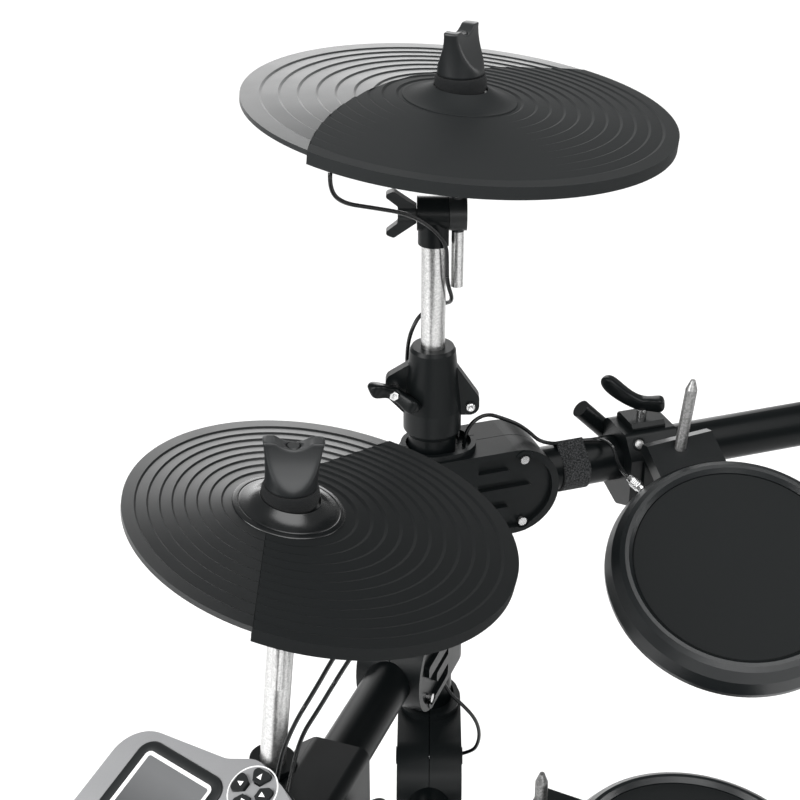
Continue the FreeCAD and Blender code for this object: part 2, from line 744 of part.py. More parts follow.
def tilter_head(name):
    """Return the tilting half: a round block with its screw, the screw's wing and the rod."""
    pivot, stand, axis, rod = cymbal_place(name)
    left = TILT_BASE_RIGHT + TILT_GAP
    right = left + TILT_HEAD_WIDTH
    knuckle = cylinder(TILT_R, V(left, 0, 0), V(right, 0, 0))
    pin = cylinder(TILT_PIN_R, V(-TILT_BASE_LEFT - TILT_SCREW, 0, 0), V(right, 0, 0))
    block_part = placed(joined([knuckle, pin]), pivot, axis, stand)
    at, along = rod_axis(name)
    hole = cylinder(ROD_R + FIT_GAP, at - along * ROD_BELOW, at + along * ROD_ABOVE)
    block_part = block_part.cut(hole)
    wing = wing_bolt(0)
    wing = wing.cut(cylinder(TILT_PIN_R + FIT_GAP, V(0, 0, -WING_HEIGHT), V(0, 0, WING_HEIGHT * 2)))
    seat = pivot - axis * (TILT_BASE_LEFT + TILT_GAP)
    wing = placed(wing, seat, stand, axis * -1)
    shaft = turned([(0, -ROD_BELOW), (ROD_R, -ROD_BELOW), (ROD_R, FLANGE_UP), (FLANGE_R, FLANGE_UP),
                    (FLANGE_R, FLANGE_UP + FLANGE), (ROD_R, FLANGE_UP + FLANGE), (ROD_R, ROD_ABOVE - EDGE),
                    (ROD_R - EDGE, ROD_ABOVE), (0, ROD_ABOVE)])
    shaft = placed(shaft, at, axis, along)
    return Part.makeCompound([block_part, shaft, wing])


# Cymbal pads
def ringed(rings):
    """Return a solid through level circles given as (centre x, radius, height) from the bottom up."""
    if all(ring[0] == rings[0][0] for ring in rings):
        points = [(0, rings[0][2])] + [(radius, height) for x, radius, height in rings] + [(0, rings[-1][2])]
        solid = turned(points)
        solid.translate(V(rings[0][0], 0, 0))
        return solid
    up = V(0, 0, 1)
    wires = [Part.Wire([Part.Circle(V(x, 0, height), up, radius).toShape()]) for x, radius, height in rings]
    return Part.makeLoft(wires, True, True)


def bow(radius, shift, drop, grooves):
    """Return a pad's solid below its bowed top, drawn in by drop, with ring grooves cut in the bow."""
    rim = radius - drop
    rings = [(shift, rim, -PAD_EDGE - (OVERRUN if drop > 0 else 0)), (shift, rim, -drop)]
    for index in range(grooves):
        start = (index + 1) / (grooves + 1)
        for share, sink in ((start, 0), (start + GROOVE_WIDTH / radius, GROOVE)):
            height = BOW_RISE * share - sink - drop
            rings.append((shift * (1 - share), rim + (BELL_R - rim) * share, height))
    rings.append((0, BELL_R, BOW_RISE - drop))
    rings.append((0, BELL_TOP_R, BOW_RISE + BELL_RISE - drop))
    return ringed(rings)


def rubber_region(name, gap):
    """Return the upright prism over a pad's rubber zone, drawn in by gap."""
    far = CRASH_R * 2
    if name == "hihat":
        first = heading(HIHAT_ZONE_FROM_DEG)
        last = heading(HIHAT_ZONE_TO_DEG)
        middle = unit(first + last)
        apex = V(HIHAT_ZONE_X, HIHAT_ZONE_Y, 0) + middle * (gap * 2)
        corners = [apex, apex + first * far, (first + middle) * far, middle * (far * 2),
                   (last + middle) * far, apex + last * far]
        face = Part.Face(Part.makePolygon(corners + corners[:1]))
    else:
        sign = 1 if name == "crash" else -1
        start = heading(CRASH_ZONE_FROM_DEG) * CRASH_R
        end = heading(CRASH_ZONE_TO_DEG) * CRASH_R
        bulge = heading((CRASH_ZONE_FROM_DEG + CRASH_ZONE_TO_DEG) / 2 + 180) * (CRASH_ZONE_BULGE - gap)
        start = start * ((CRASH_R + OVERRUN) / CRASH_R)
        end = end * ((CRASH_R + OVERRUN) / CRASH_R)
        arc = Part.Arc(start, bulge, end).toShape()
        outer = heading((CRASH_ZONE_FROM_DEG + CRASH_ZONE_TO_DEG) / 2) * far
        side = V(-outer.y, outer.x, 0)
        edges = [arc, Part.LineSegment(end, end + side).toShape(),
                 Part.LineSegment(end + side, end + side + outer).toShape(),
                 Part.LineSegment(end + side + outer, start - side + outer).toShape(),
                 Part.LineSegment(start - side + outer, start - side).toShape(),
                 Part.LineSegment(start - side, start).toShape()]
        face = Part.Face(Part.Wire(edges))
        if sign < 0:
            face = face.mirror(V(0, 0, 0), V(1, 0, 0))
    deep = PAD_EDGE * 3
    solid = face.extrude(V(0, 0, deep * 2))
    solid.translate(V(0, 0, -deep))
    return solid.cut(cylinder(BELL_R + gap, V(0, 0, -deep * 2), V(0, 0, deep * 2)))


def cymbal_frame(name):
    """Return a cymbal pad's middle at its rim's height, its X direction and its normal."""
    at, along = rod_axis(name)
    normal = pad_normal(name)
    rise = BOW_RISE + BELL_RISE - (PAD_LAYER + PAD_SHELL) / 2
    aside = pad_aside(name) * (-1 if name == "ride" else 1)
    aside = unit(aside - normal * aside.dot(normal))
    return at + along * hub_height() - normal * rise, aside, normal


def cymbal_pieces(name):
    """Return a cymbal's plate, rubber, felts and wing nut in their places."""
    radius = HIHAT_R if name == "hihat" else CRASH_R
    shift = HIHAT_SHIFT if name == "hihat" else 0
    deep = PAD_LAYER + PAD_SHELL
    top = bow(radius, shift, 0, PLATE_GROOVE_COUNT)
    inner = bow(radius, shift, deep, 0)
    seat = bow(radius, shift, PAD_LAYER, 0)
    region = rubber_region(name, 0)
    hole = cylinder(ROD_R + HUB_CLEAR, V(0, 0, -PAD_EDGE * 2), V(0, 0, BOW_RISE * 3))
    skirt = cylinder(radius + OVERRUN, V(shift, 0, -PAD_EDGE * 2), V(shift, 0, -PLATE_EDGE)).cut(region)
    plate = top.cut(inner).cut(region.cut(seat)).cut(hole).cut(skirt)
    skin = bow(radius + RUBBER_OVER, shift, 0, RUBBER_GROOVE_COUNT)
    above = bow(radius, shift, PAD_LAYER - FIT_GAP, 0)
    rubber = skin.common(rubber_region(name, FIT_GAP)).cut(above)
    at, along = rod_axis(name)
    bell_top = BOW_RISE + BELL_RISE
    under = bell_top - deep
    centre, aside, normal = cymbal_frame(name)
    plate = placed(plate, centre, aside, normal)
    rubber = placed(rubber, centre, aside, normal)
    felt_top = PAD_ABOVE_PIVOT + bell_top + FELT_HEIGHT
    felt_low = FLANGE_UP + FLANGE
    bore = ROD_R + FIT_GAP
    felts = []
    middle = hub_height()
    for low, high, felt_r, keep in ((felt_low, middle, FELT_LOW_R, -1), (middle, felt_top, FELT_R, 1)):
        ring = tube(felt_r, felt_r - bore, at + along * low, at + along * high)
        slab = block(-FELT_R * 2, FELT_R * 2, -FELT_R * 2, FELT_R * 2, under - FELT_R if keep > 0 else under,
                     bell_top if keep > 0 else bell_top + FELT_R)
        felts.append(ring.cut(placed(slab, centre, aside, normal)))
    nut = wing_nut()
    nut.rotate(V(0, 0, 0), V(0, 0, 1), NUT_TURN_DEG[name])
    nut = placed(nut, at + along * (felt_top + TILT_GAP), aside, along)
    return [plate, rubber, Part.makeCompound(felts), nut]


def hub_height():
    """Return how far the middle of a pad's bell wall stands above its tilter pivot."""
    return PAD_ABOVE_PIVOT + BOW_RISE + BELL_RISE - (PAD_LAYER + PAD_SHELL) / 2


def wing_nut():
    """Return the tall nut: a round base that thins to a blade with two ears and a notch."""
    round_body = turned([(0, 0), (NUT_R - EDGE, 0), (NUT_R, EDGE), (NUT_R, NUT_SHOULDER),
                         (NUT_R * NUT_NECK_SHARE, NUT_NECK_HEIGHT), (NUT_TOP_R, NUT_HEIGHT), (0, NUT_HEIGHT)])
    wide = NUT_TOP_R + OVERRUN
    half = NUT_BLADE / 2
    section = [V(0, -wide, 0), V(0, wide, 0), V(0, wide, NUT_SHOULDER), V(0, half, NUT_HEIGHT),
               V(0, -half, NUT_HEIGHT), V(0, -wide, NUT_SHOULDER)]
    wedge = Part.Face(Part.makePolygon(section + section[:1])).extrude(V(wide * 2, 0, 0))
    wedge.translate(V(-wide, 0, 0))
    body = round_body.common(wedge)
    above = NUT_HEIGHT + OVERRUN
    body = body.cut(cylinder(NUT_NOTCH_R, V(0, -wide, above), V(0, wide, above)))
    return body.cut(cylinder(ROD_R + RUN_GAP, V(0, 0, -OVERRUN), V(0, 0, above)))


# Drum pads
def tilted(toward, degrees):
    """Return the unit normal that leans from upright toward a level direction."""
    angle = math.radians(degrees)
    return toward * math.sin(angle) + V(0, 0, math.cos(angle))


def mirrored(vector):
    """Return a vector reflected from the left half of the kit to the right."""
    return V(-vector.x, vector.y, vector.z)


def pad_place(name):
    """Return a pad's clamp point, bar, rod and leg directions, normal, bracket direction and leg height."""
    if name in ("tom_1", "tom_2"):
        toward = heading(TOM_TURN_DEG)
        normal = tilted(toward, TOM_TILT_DEG)
        uphill = unit(toward.cross(normal).cross(normal))
        aside = normal.cross(uphill)
        angle = math.radians(TOM_BRACKET_DEG)
        edge = uphill * math.cos(angle) + aside * math.sin(angle)
        lean = unit(V(math.tan(math.radians(TOM_LEAN_DEG)), 0, 1))
        point = V(-POST_X + TOM_CLAMP_AT, 0, CROSSBAR_Z)
        vectors = [point, V(1, 0, 0), V(0, -1, 0), lean, normal, edge]
        if name == "tom_2":
            vectors = [mirrored(vector) for vector in vectors]
        return vectors + [TOM_LEG_UP]
    if name == "snare":
        along = snare_direction()
        point = post_point(-1, SNARE_ARM_Z) + along * SNARE_CLAMP_AT
        outward = V(-along.y, along.x, 0)
        away = heading(SNARE_TURN_PAD_DEG)
        normal = tilted(away, SNARE_TILT_DEG)
        edge = unit(V(0, 0, 1).cross(away).cross(normal)) * -1
        return [point, along, outward, V(0, 0, 1), normal, edge, SNARE_LEG_UP]
    along = arm_direction(1)
    point = post_point(1, ARM_Z) + along * ARM_REACH * FLOOR_TOM_SHARE
    outward = V(along.y, -along.x, 0)
    normal = tilted(outward, FLOOR_TOM_TILT_DEG)
    edge = unit(V(0, 0, 1).cross(outward).cross(normal)) * -1
    return [point, along, outward, V(0, 0, 1), normal, edge, FLOOR_TOM_LEG_UP]


def leg_base(name):
    """Return the point where a pad rod's two straight legs would meet."""
    point, along, outward, leg, normal, edge, rise = pad_place(name)
    return point + outward * (SNARE_ROD_OUT if name == "snare" else ROD_OUT)


def leg_length(name):
    """Return how long a pad rod's upright leg is, up to its point."""
    return pad_place(name)[-1] + (SNARE_STICKS_OUT if name == "snare" else ROD_STICKS_OUT)


def pad_centre(name):
    """Return the middle of a pad at its rim's height."""
    point, along, outward, leg, normal, edge, rise = pad_place(name)
    return leg_base(name) + leg * rise - edge * (PAD_R + BRACKET_REACH)


def pad_rod(name):
    """Return a pad's bent rod: a level leg in the clamp, a bend and a pointed upright leg."""
    point, along, outward, leg, normal, edge, rise = pad_place(name)
    corner = leg_base(name)
    start = point + outward * (TUBE_R + CLAMP_STOP)
    bend_in = corner - outward * ROD_BEND_R
    bend_out = corner + leg * ROD_BEND_R
    middle = corner + (leg - outward) * ROD_BEND_R
    middle = middle + unit(corner - middle) * ROD_BEND_R
    tip = corner + leg * leg_length(name)
    bend = Part.Arc(bend_in, middle, bend_out).toShape()
    path = Part.Wire([Part.LineSegment(start, bend_in).toShape(), bend,
                      Part.LineSegment(bend_out, tip).toShape()])
    section = Part.Wire([Part.Circle(start, outward, ROD_R).toShape()])
    bar = path.makePipeShell([section], True, True)
    point_end = Part.makeCone(ROD_R, ROD_POINT_R, ROD_TIP, tip, leg)
    return joined([bar, point_end])


def pad_profile(grow):
    """Return the outer (radius, height) corners of a pad's shell, base first, up its bevelled skirt."""
    return [(0, -PAD_DEPTH - grow), (PAD_BASE_R + grow, -PAD_DEPTH - grow),
            (PAD_R + grow, -PAD_RIM_BAND - PAD_WALL), (PAD_R + grow, -PAD_RIM_BAND),
            (PAD_R - PAD_WALL + grow, -PAD_RIM_BAND * PAD_BEVEL_SHARE),
            (PAD_TOP_R + PAD_WALL + grow, -PAD_WALL / 2), (PAD_TOP_R + grow, 0)]


def pad_pieces(name):
    """Return a pad's shell, bracket and rubber head in their places."""
    point, along, outward, leg, normal, edge, rise = pad_place(name)
    centre = pad_centre(name)
    seat_r = PAD_TOP_R - PAD_LIP
    floor = -HEAD_DROP - HEAD_THICK
    seat = [(seat_r + PAD_LIP / 2, 0), (seat_r, -HEAD_DROP), (seat_r, floor), (0, floor)]
    shell = turned(pad_profile(0) + seat)
    head_r = seat_r - FIT_GAP
    head = turned([(0, floor), (head_r, floor), (head_r, -HEAD_DROP - EDGE), (head_r - EDGE, -HEAD_DROP),
                   (0, -HEAD_DROP)])
    half = BRACKET_WIDTH / 2
    back = PAD_R + BRACKET_REACH + BRACKET_BACK
    front = PAD_R - BRACKET_INSET
    top = -BRACKET_DROP
    low = top - BRACKET_HEIGHT
    tongue = -PAD_DEPTH - BRACKET_TONGUE
    side_view = [V(0, front, tongue), V(0, PAD_BASE_R, tongue), V(0, PAD_R, low), V(0, back, low),
                 V(0, back, top - BRACKET_DROP),
                 V(0, back - BRACKET_DROP, top), V(0, front, top)]
    wedge = Part.Face(Part.makePolygon(side_view + side_view[:1])).extrude(V(BRACKET_WIDTH, 0, 0))
    wedge.translate(V(-half, 0, 0))
    bracket = wedge.cut(turned(pad_profile(FIT_GAP) + [(0, 0)]))
    aside = edge.cross(normal)
    pieces = [placed(piece, centre, aside, normal) for piece in (shell, bracket, head)]
    bottom = leg_base(name)
    pieces[1] = pieces[1].cut(cylinder(ROD_R + RUN_GAP, bottom, bottom + leg * leg_length(name)))
    return pieces


def pad_clamp(name):
    """Return a pad's clamp on its bar: a faceted jaw with a square nose for the rod."""
    point, along, outward, leg, normal, edge, rise = pad_place(name)
    small = PAD_CLAMP_ROUND
    large = PAD_CLAMP_BACK_ROUND
    corners = [(-PAD_CLAMP_BACK, -PAD_CLAMP_BACK, large), (TUBE_R / 2, -PAD_CLAMP_DOWN, small),
               (PAD_CLAMP_FRONT, -PAD_CLAMP_NOSE_DOWN, small), (PAD_CLAMP_FRONT, PAD_CLAMP_NOSE_UP, small),
               (TUBE_R, PAD_CLAMP_SHOULDER, small), (-TUBE_R, PAD_CLAMP_SHOULDER, large),
               (-PAD_CLAMP_BACK, TUBE_R / 2, large)]
    half = PAD_CLAMP_WIDTH / 2
    body = upright(prism(corners, -half, half))
    edge_in = PAD_CLAMP_PLATE - PAD_CLAMP_PLATE_EDGE
    plate = [(-PAD_CLAMP_PLATE, TUBE_R, 0), (PAD_CLAMP_PLATE, TUBE_R, 0),
             (PAD_CLAMP_PLATE, PAD_CLAMP_UP - PAD_CLAMP_PLATE_EDGE, 0), (edge_in, PAD_CLAMP_UP, 0),
             (-edge_in, PAD_CLAMP_UP, 0), (-PAD_CLAMP_PLATE, PAD_CLAMP_UP - PAD_CLAMP_PLATE_EDGE, 0)]
    body = body.fuse(upright(prism(plate, -edge_in - PAD_CLAMP_PLATE_EDGE, edge_in + PAD_CLAMP_PLATE_EDGE)))
    base, tip = [V(-back, along_bar, up) for along_bar, back, up in PAD_CLAMP_STUB]
    body = joined([body, cylinder(PAD_CLAMP_STUB_R, base, tip)])
    rib = PAD_CLAMP_FRONT - PAD_CLAMP_RIB
    for low, high in ((-half - OVERRUN, -PAD_CLAMP_RIB_HALF), (PAD_CLAMP_RIB_HALF, half + OVERRUN)):
        body = body.cut(block(rib, PAD_CLAMP_FRONT + OVERRUN, low, high,
                              -PAD_CLAMP_DOWN - OVERRUN, PAD_CLAMP_UP))
    body = body.cut(cylinder(TUBE_R + FIT_GAP, V(0, -half - OVERRUN, 0), V(0, half + OVERRUN, 0)))
    nose = TUBE_R + CLAMP_STOP - FIT_GAP
    body = body.cut(cylinder(ROD_R + RUN_GAP, V(nose, 0, 0), V(PAD_CLAMP_FRONT + OVERRUN, 0, 0)))
    hole_low = PAD_CLAMP_UP - WING_STEM - FIT_GAP
    body = body.cut(cylinder(BOLT_R + FIT_GAP, V(0, 0, hole_low), V(0, 0, PAD_CLAMP_UP + OVERRUN)))
    return placed(body, point, outward, V(0, 0, 1))


def pad_clamps():
    return Part.makeCompound([pad_clamp(name) for name in PADS])


def wing_bolts():
    bolts = []
    for side in (-1, 1):
        bolts.extend(collar_bolts(side))
    for name in PADS:
        point, along, outward, leg, normal, edge, rise = pad_place(name)
        bolts.append(placed(wing_bolt(WING_STEM), point + V(0, 0, PAD_CLAMP_UP), along, V(0, 0, 1)))
    clamp = hihat_clamp_point()
    inner = outward_of_arm() * -1
    bolts.append(placed(wing_bolt(WING_STEM), clamp + inner * ARM_CLAMP_HALF, arm_direction(-1), inner))
    return Part.makeCompound(bolts)


# Side arm clamps
def hihat_clamp():
    """Return the faceted block on the left arm with a leaning sleeve for the hi-hat stand."""
    half = ARM_CLAMP_HALF
    length = ARM_CLAMP_LENGTH / 2
    soft = ARM_CLAMP_ROUND
    corners = [(-half, -half, soft), (half, -half, soft), (half, ARM_CLAMP_SLOPE_HIGH, soft),
               (ARM_CLAMP_SLOPE_IN, half, soft), (-half, half, soft)]
    body = upright(prism(corners, -length, length))
    body.rotate(V(0, 0, 0), V(0, 0, 1), 180)
    block_part = placed(body, hihat_clamp_point(), outward_of_arm() * -1, V(0, 0, 1))
    stand = hihat_stand_direction()
    foot = hihat_stand_point()
    sleeve = cylinder(HIHAT_CLAMP_BOSS_R, foot - stand * ARM_CLAMP_HALF, foot + stand * HIHAT_CLAMP_TOP)
    whole = joined([block_part, sleeve])
    along = arm_direction(-1)
    at = hihat_clamp_point()
    through = along * ARM_CLAMP_LENGTH
    whole = whole.cut(cylinder(TUBE_R + FIT_GAP, at - through, at + through))
    reach = stand * (HIHAT_CLAMP_TOP + ARM_CLAMP_HALF)
    whole = whole.cut(cylinder(STAND_R + RUN_GAP, foot - reach, foot + reach))
    inner = outward_of_arm() * -1
    hole_from = at + inner * (ARM_CLAMP_HALF - WING_STEM - FIT_GAP)
    return whole.cut(cylinder(BOLT_R + FIT_GAP, hole_from, at + inner * (ARM_CLAMP_HALF + OVERRUN)))


def module_axes():
    """Return the module's right, up and face directions."""
    facing = heading(MODULE_TURN_DEG)
    normal = tilted(facing, 90 - MODULE_STEEP_DEG)
    right = V(-facing.y, facing.x, 0)
    return right, normal.cross(right), normal


def module_clamp_point():
    return post_point(-1, ARM_Z) + arm_direction(-1) * ARM_REACH * MODULE_CLAMP_SHARE


def module_pivot():
    """Return the middle of the module's tilt pin."""
    return module_clamp_point() + V(0, 0, MODULE_PIVOT_UP)


def module_centre():
    """Return the middle of the module's face."""
    right, up, normal = module_axes()
    return module_pivot() + normal * (MODULE_BACK + MODULE_FRONT + MODULE_PIVOT_R + CLEAR * 2)


def module_clamp():
    """Return the block on the left arm with a neck and a cross pin for the module."""
    half = ARM_CLAMP_HALF
    length = MODULE_CLAMP_LENGTH / 2
    soft = ARM_CLAMP_ROUND
    corners = [(-half, -half, soft), (half, -half, soft), (half, half, soft), (-half, half, soft)]
    body = upright(prism(corners, -length, length))
    body = placed(body, module_clamp_point(), outward_of_arm(), V(0, 0, 1))
    right, up, normal = module_axes()
    pivot = module_pivot()
    neck = cylinder(MODULE_NECK_R, module_clamp_point() + V(0, 0, TUBE_R + CLEAR), pivot)
    boss = cylinder(MODULE_BOSS_R, pivot - right * MODULE_NECK / 2, pivot + right * MODULE_NECK / 2)
    pin = cylinder(MODULE_PIVOT_R, pivot - right * MODULE_NECK, pivot + right * MODULE_NECK)
    whole = joined([body, neck, boss, pin])
    along = arm_direction(-1)
    at = module_clamp_point()
    through = along * MODULE_CLAMP_LENGTH
    return whole.cut(cylinder(TUBE_R + FIT_GAP, at - through, at + through))


def arm_clamps():
    return Part.makeCompound([hihat_clamp(), module_clamp()])


# Module
def module_outline(grow):
    """Return the module's rounded outline: a high left shoulder, a dip and a low right shoulder."""
    corners = []
    for x, y, radius in MODULE_OUTLINE_SHARES:
        corners.append((x * MODULE_WIDTH + math.copysign(grow, x), y * MODULE_HEIGHT + math.copysign(grow, y),
                        radius * MODULE_WIDTH))
    return corners


def button_wedge(index, grow):
    """Return one cursor button's outline: a quarter of a ring, drawn in or out by grow."""
    inner = BUTTON_HUB_R - grow
    outer = BUTTON_RING_R + grow
    gap = BUTTON_SPLIT - grow
    wide = outer * BUTTON_SPREAD_SHARE
    corners = [(inner + gap, -inner, 0), (outer, -wide, BUTTON_CORNER), (outer, wide, BUTTON_CORNER),
               (inner + gap, inner, 0)]
    across = heading(90 * index)
    outline = []
    for x, y, radius in corners:
        moved_x = x * across.x - y * across.y
        moved_y = x * across.y + y * across.x
        outline.append((moved_x + BUTTON_X, moved_y + BUTTON_Y, radius))
    return outline


def screen_outline(grow):
    half_x = SCREEN_WIDTH / 2 + grow
    half_y = SCREEN_HEIGHT / 2 + grow
    return [(SCREEN_X - half_x, SCREEN_Y - half_y, SCREEN_CORNER),
            (SCREEN_X + half_x, SCREEN_Y - half_y, SCREEN_CORNER),
            (SCREEN_X + half_x, SCREEN_Y + half_y, SCREEN_CORNER),
            (SCREEN_X - half_x, SCREEN_Y + half_y, SCREEN_CORNER)]


def module_pieces():
    """Return the module's nodes by name in their places."""
    right, up, normal = module_axes()
    floor = -MODULE_FRONT
    front = prism(module_outline(0), floor, 0)
    front = front.cut(prism(screen_outline(FIT_GAP), -SCREEN_SINK, OVERRUN))
    for index in range(4):
        front = front.cut(prism(button_wedge(index, CLEAR), -BUTTON_SINK - BUTTON_TRAVEL - CLEAR, OVERRUN))
    stem = V(KNOB_X, KNOB_Y, 0)
    front = front.cut(cylinder(KNOB_STEM_R + RUN_GAP, stem + V(0, 0, -BUTTON_SINK), stem + V(0, 0, OVERRUN)))
    back = prism(module_outline(-MODULE_INSET), floor - MODULE_BACK, floor)
    for side in (-1, 1):
        near = side * (MODULE_NECK / 2 + CLEAR)
        far = side * (MODULE_NECK - CLEAR)
        lug_low = floor - MODULE_BACK - CLEAR * 2 - MODULE_PIVOT_R
        lug = cylinder(MODULE_BOSS_R, V(near, 0, lug_low), V(far, 0, lug_low))
        wide = MODULE_BOSS_R
        web = block(min(near, far), max(near, far), -wide, wide, lug_low, floor - MODULE_BACK)
        back = joined([back, lug, web])
        hole_from = V(near - side * OVERRUN, 0, lug_low)
        back = back.cut(cylinder(MODULE_PIVOT_R + RUN_GAP, hole_from, V(far + side * OVERRUN, 0, lug_low)))
    room = MODULE_NECK / 2 + CLEAR
    back = back.cut(cylinder(MODULE_BOSS_R + CLEAR, V(-room, 0, lug_low), V(room, 0, lug_low)))
    screen = prism(screen_outline(0), -SCREEN_SINK, SCREEN_PROUD)
    knob = turned([(0, -BUTTON_SINK + CLEAR), (KNOB_STEM_R, -BUTTON_SINK + CLEAR), (KNOB_STEM_R, CLEAR),
                   (KNOB_R, CLEAR), (KNOB_TOP_R, KNOB_RISE - EDGE), (KNOB_TOP_R - EDGE, KNOB_RISE),
                   (0, KNOB_RISE)])
    knob.translate(stem)
    pieces = {"module_back": back, "module_front": front, "module_screen": screen, "module_knob": knob}
    for index, name in enumerate(BUTTONS):
        pieces[name] = prism(button_wedge(index, 0), -BUTTON_SINK, BUTTON_RISE)
    return {name: placed(piece, module_centre(), right, normal) for name, piece in pieces.items()}


# Straps and cables
def strap_points():
    return [V(-POST_X + STRAP_AT, 0, CROSSBAR_Z), V(POST_X - STRAP_AT, 0, CROSSBAR_Z)]


def cable_straps():
    """Return the straps on the crossbar, each a band with a loop over the cable on top."""
    straps = []
    half = V(STRAP_WIDTH / 2, 0, 0)
    beyond = V(STRAP_WIDTH, 0, 0)
    inner = TUBE_R + FIT_GAP
    loop_r = CABLE_R + CLEAR
    lift = V(0, 0, TUBE_R + CABLE_R + CABLE_OVER_TUBE)
    for point in strap_points():
        band = cylinder(inner + STRAP_WALL, point - half, point + half)
        loop = cylinder(loop_r + STRAP_WALL, point - half + lift, point + half + lift)
        body = joined([band, loop]).cut(cylinder(inner, point - beyond, point + beyond))
        straps.append(body.cut(cylinder(loop_r, point - beyond + lift, point + beyond + lift)))
    return Part.makeCompound(straps)


def cable(points):
    """Return a round cable along straight runs joined by tangent arcs."""
    edges = []
    last = points[0]
    for before, here, after in zip(points, points[1:], points[2:]):
        back = unit(before - here)
        ahead = unit(after - here)
        reach = CABLE_REACH_SHARE * min((before - here).Length, (after - here).Length)
        half = math.acos(max(-1, min(1, back.dot(ahead)))) / 2
        inward = unit(back + ahead)
        start = here + back * reach
        end = here + ahead * reach
        middle = here + inward * (reach / math.cos(half) - reach * math.tan(half))
        edges.append(Part.LineSegment(last, start).toShape())
        edges.append(Part.Arc(start, middle, end).toShape())
        last = end
    edges.append(Part.LineSegment(last, points[-1]).toShape())
    section = Part.Wire([Part.Circle(points[0], points[1] - points[0], CABLE_R).toShape()])
    return Part.Wire(edges).makePipeShell([section], True, True)


def beside_post(run):
    """Return a cable run's points as the drummer's view of the left post gives them."""
    right = heading(-VIEW_TURN_DEG)
    toward = heading(-VIEW_TURN_DEG - 90)
    return [post_point(-1, COLLAR_Z + up) + right * x + toward * y for x, y, up in run]


def jack_plug(at, outward):
    """Return a plug that stands out of a jack and the first two points of its cable."""
    end = at + outward * PLUG_LENGTH
    return cylinder(PLUG_R, at, end), [end + outward * FIT_GAP, end + outward * CABLE_LEAD]


def cymbal_jack(name, spot):
    """Return the place of a jack under a cymbal pad and the way its plug leaves."""
    x, y, down = spot
    centre, aside, normal = cymbal_frame(name)
    return centre + aside * x + normal.cross(aside) * y + normal * down, normal * -1


def tom_jack():
    """Return the place of the first tom's jack on its skirt and the way its plug leaves."""
    point, along, outward, leg, normal, edge, rise = pad_place("tom_1")
    turn = math.radians(TOM_JACK_DEG)
    away = edge * math.cos(turn) - edge.cross(normal) * math.sin(turn)
    return pad_centre("tom_1") + away * (PAD_R + FIT_GAP) - normal * TOM_JACK_DOWN, away


def cable_paths():
    """Return each cable's points, and the plugs on them."""
    paths = []
    plugs = []
    plug, lead = jack_plug(*cymbal_jack("crash", CRASH_JACK))
    plugs.append(plug)
    paths.append(lead + beside_post(CRASH_RUN))
    for spot, run in zip(HIHAT_JACKS, HIHAT_RUNS):
        plug, lead = jack_plug(*cymbal_jack("hihat", spot))
        plugs.append(plug)
        paths.append(lead + beside_post(run))
    plug, lead = jack_plug(*tom_jack())
    plugs.append(plug)
    paths.append([post_point(-1, COLLAR_Z) + V(*spot) for spot in TOM_RUN] + lead[::-1])
    paths.append(beside_post(LOOP_RUN))
    return paths, plugs


def pad_cables():
    paths, plugs = cable_paths()
    return Part.makeCompound([cable(points) for points in paths] + plugs)


def base_shift(nodes):
    """Return the move that puts the middle of the kit's box, at floor height, on the origin."""
    rigid = [shape for name, shape in nodes.items() if name != CABLE_NODE]
    box = Part.makeCompound(rigid).optimalBoundingBox(False, False)
    return V(-box.Center.x, -box.Center.y, -box.ZMin)


def build():
    """Return every node by name, placed about the middle of the posts' line."""
    corner, arm, snare = joints()
    nodes = {
        "crossbar": crossbar(),
        "posts": posts(),
        "rack_arms": rack_arms(),
        "corner_joint_shells": castings(corner),
        "arm_joint_shells": castings(arm),
        "snare_joint_shells": castings(snare),
        "joint_bolts": joint_bolts(),
        "rubber_feet": rubber_feet(),
        "post_collars": post_collars(),
        "pad_clamps": pad_clamps(),
        "arm_clamps": arm_clamps(),
        "wing_bolts": wing_bolts(),
        "cable_straps": cable_straps(),
        CABLE_NODE: pad_cables(),
    }
    for name in CYMBALS:
        plate, rubber, felts, nut = cymbal_pieces(name)
        nodes[name + "_tube"] = stand_tube(name)
        nodes[name + "_tilter_base"] = tilter_base(name)
        nodes[name + "_tilter_head"] = tilter_head(name)
        nodes[name + "_plate"] = plate
        nodes[name + "_rubber"] = rubber
        nodes[name + "_felts"] = felts
        nodes[name + "_wing_nut"] = nut
    for name in PADS:
        shell, bracket, head = pad_pieces(name)
        nodes[name + "_rod"] = pad_rod(name)
        nodes[name + "_bracket"] = bracket
        nodes[name + "_shell"] = shell
        nodes[name + "_head"] = head
    nodes.update(module_pieces())
    return nodes


def main():
    """Write every node, with the kit stood on the middle of its base."""
    os.makedirs("parts", exist_ok=True)
    nodes = build()
    shift = base_shift(nodes)
    for name, shape in nodes.items():
        shape.translate(shift)
        shape.exportStep("parts/" + name + ".step")


if __name__ == "__main__":
    main()
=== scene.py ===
"""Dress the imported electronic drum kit: finishes on its CAD nodes, soft pieces, cables, light and camera."""
from __future__ import annotations

import json
import logging
import math
from dataclasses import dataclass, field, replace
from enum import Enum

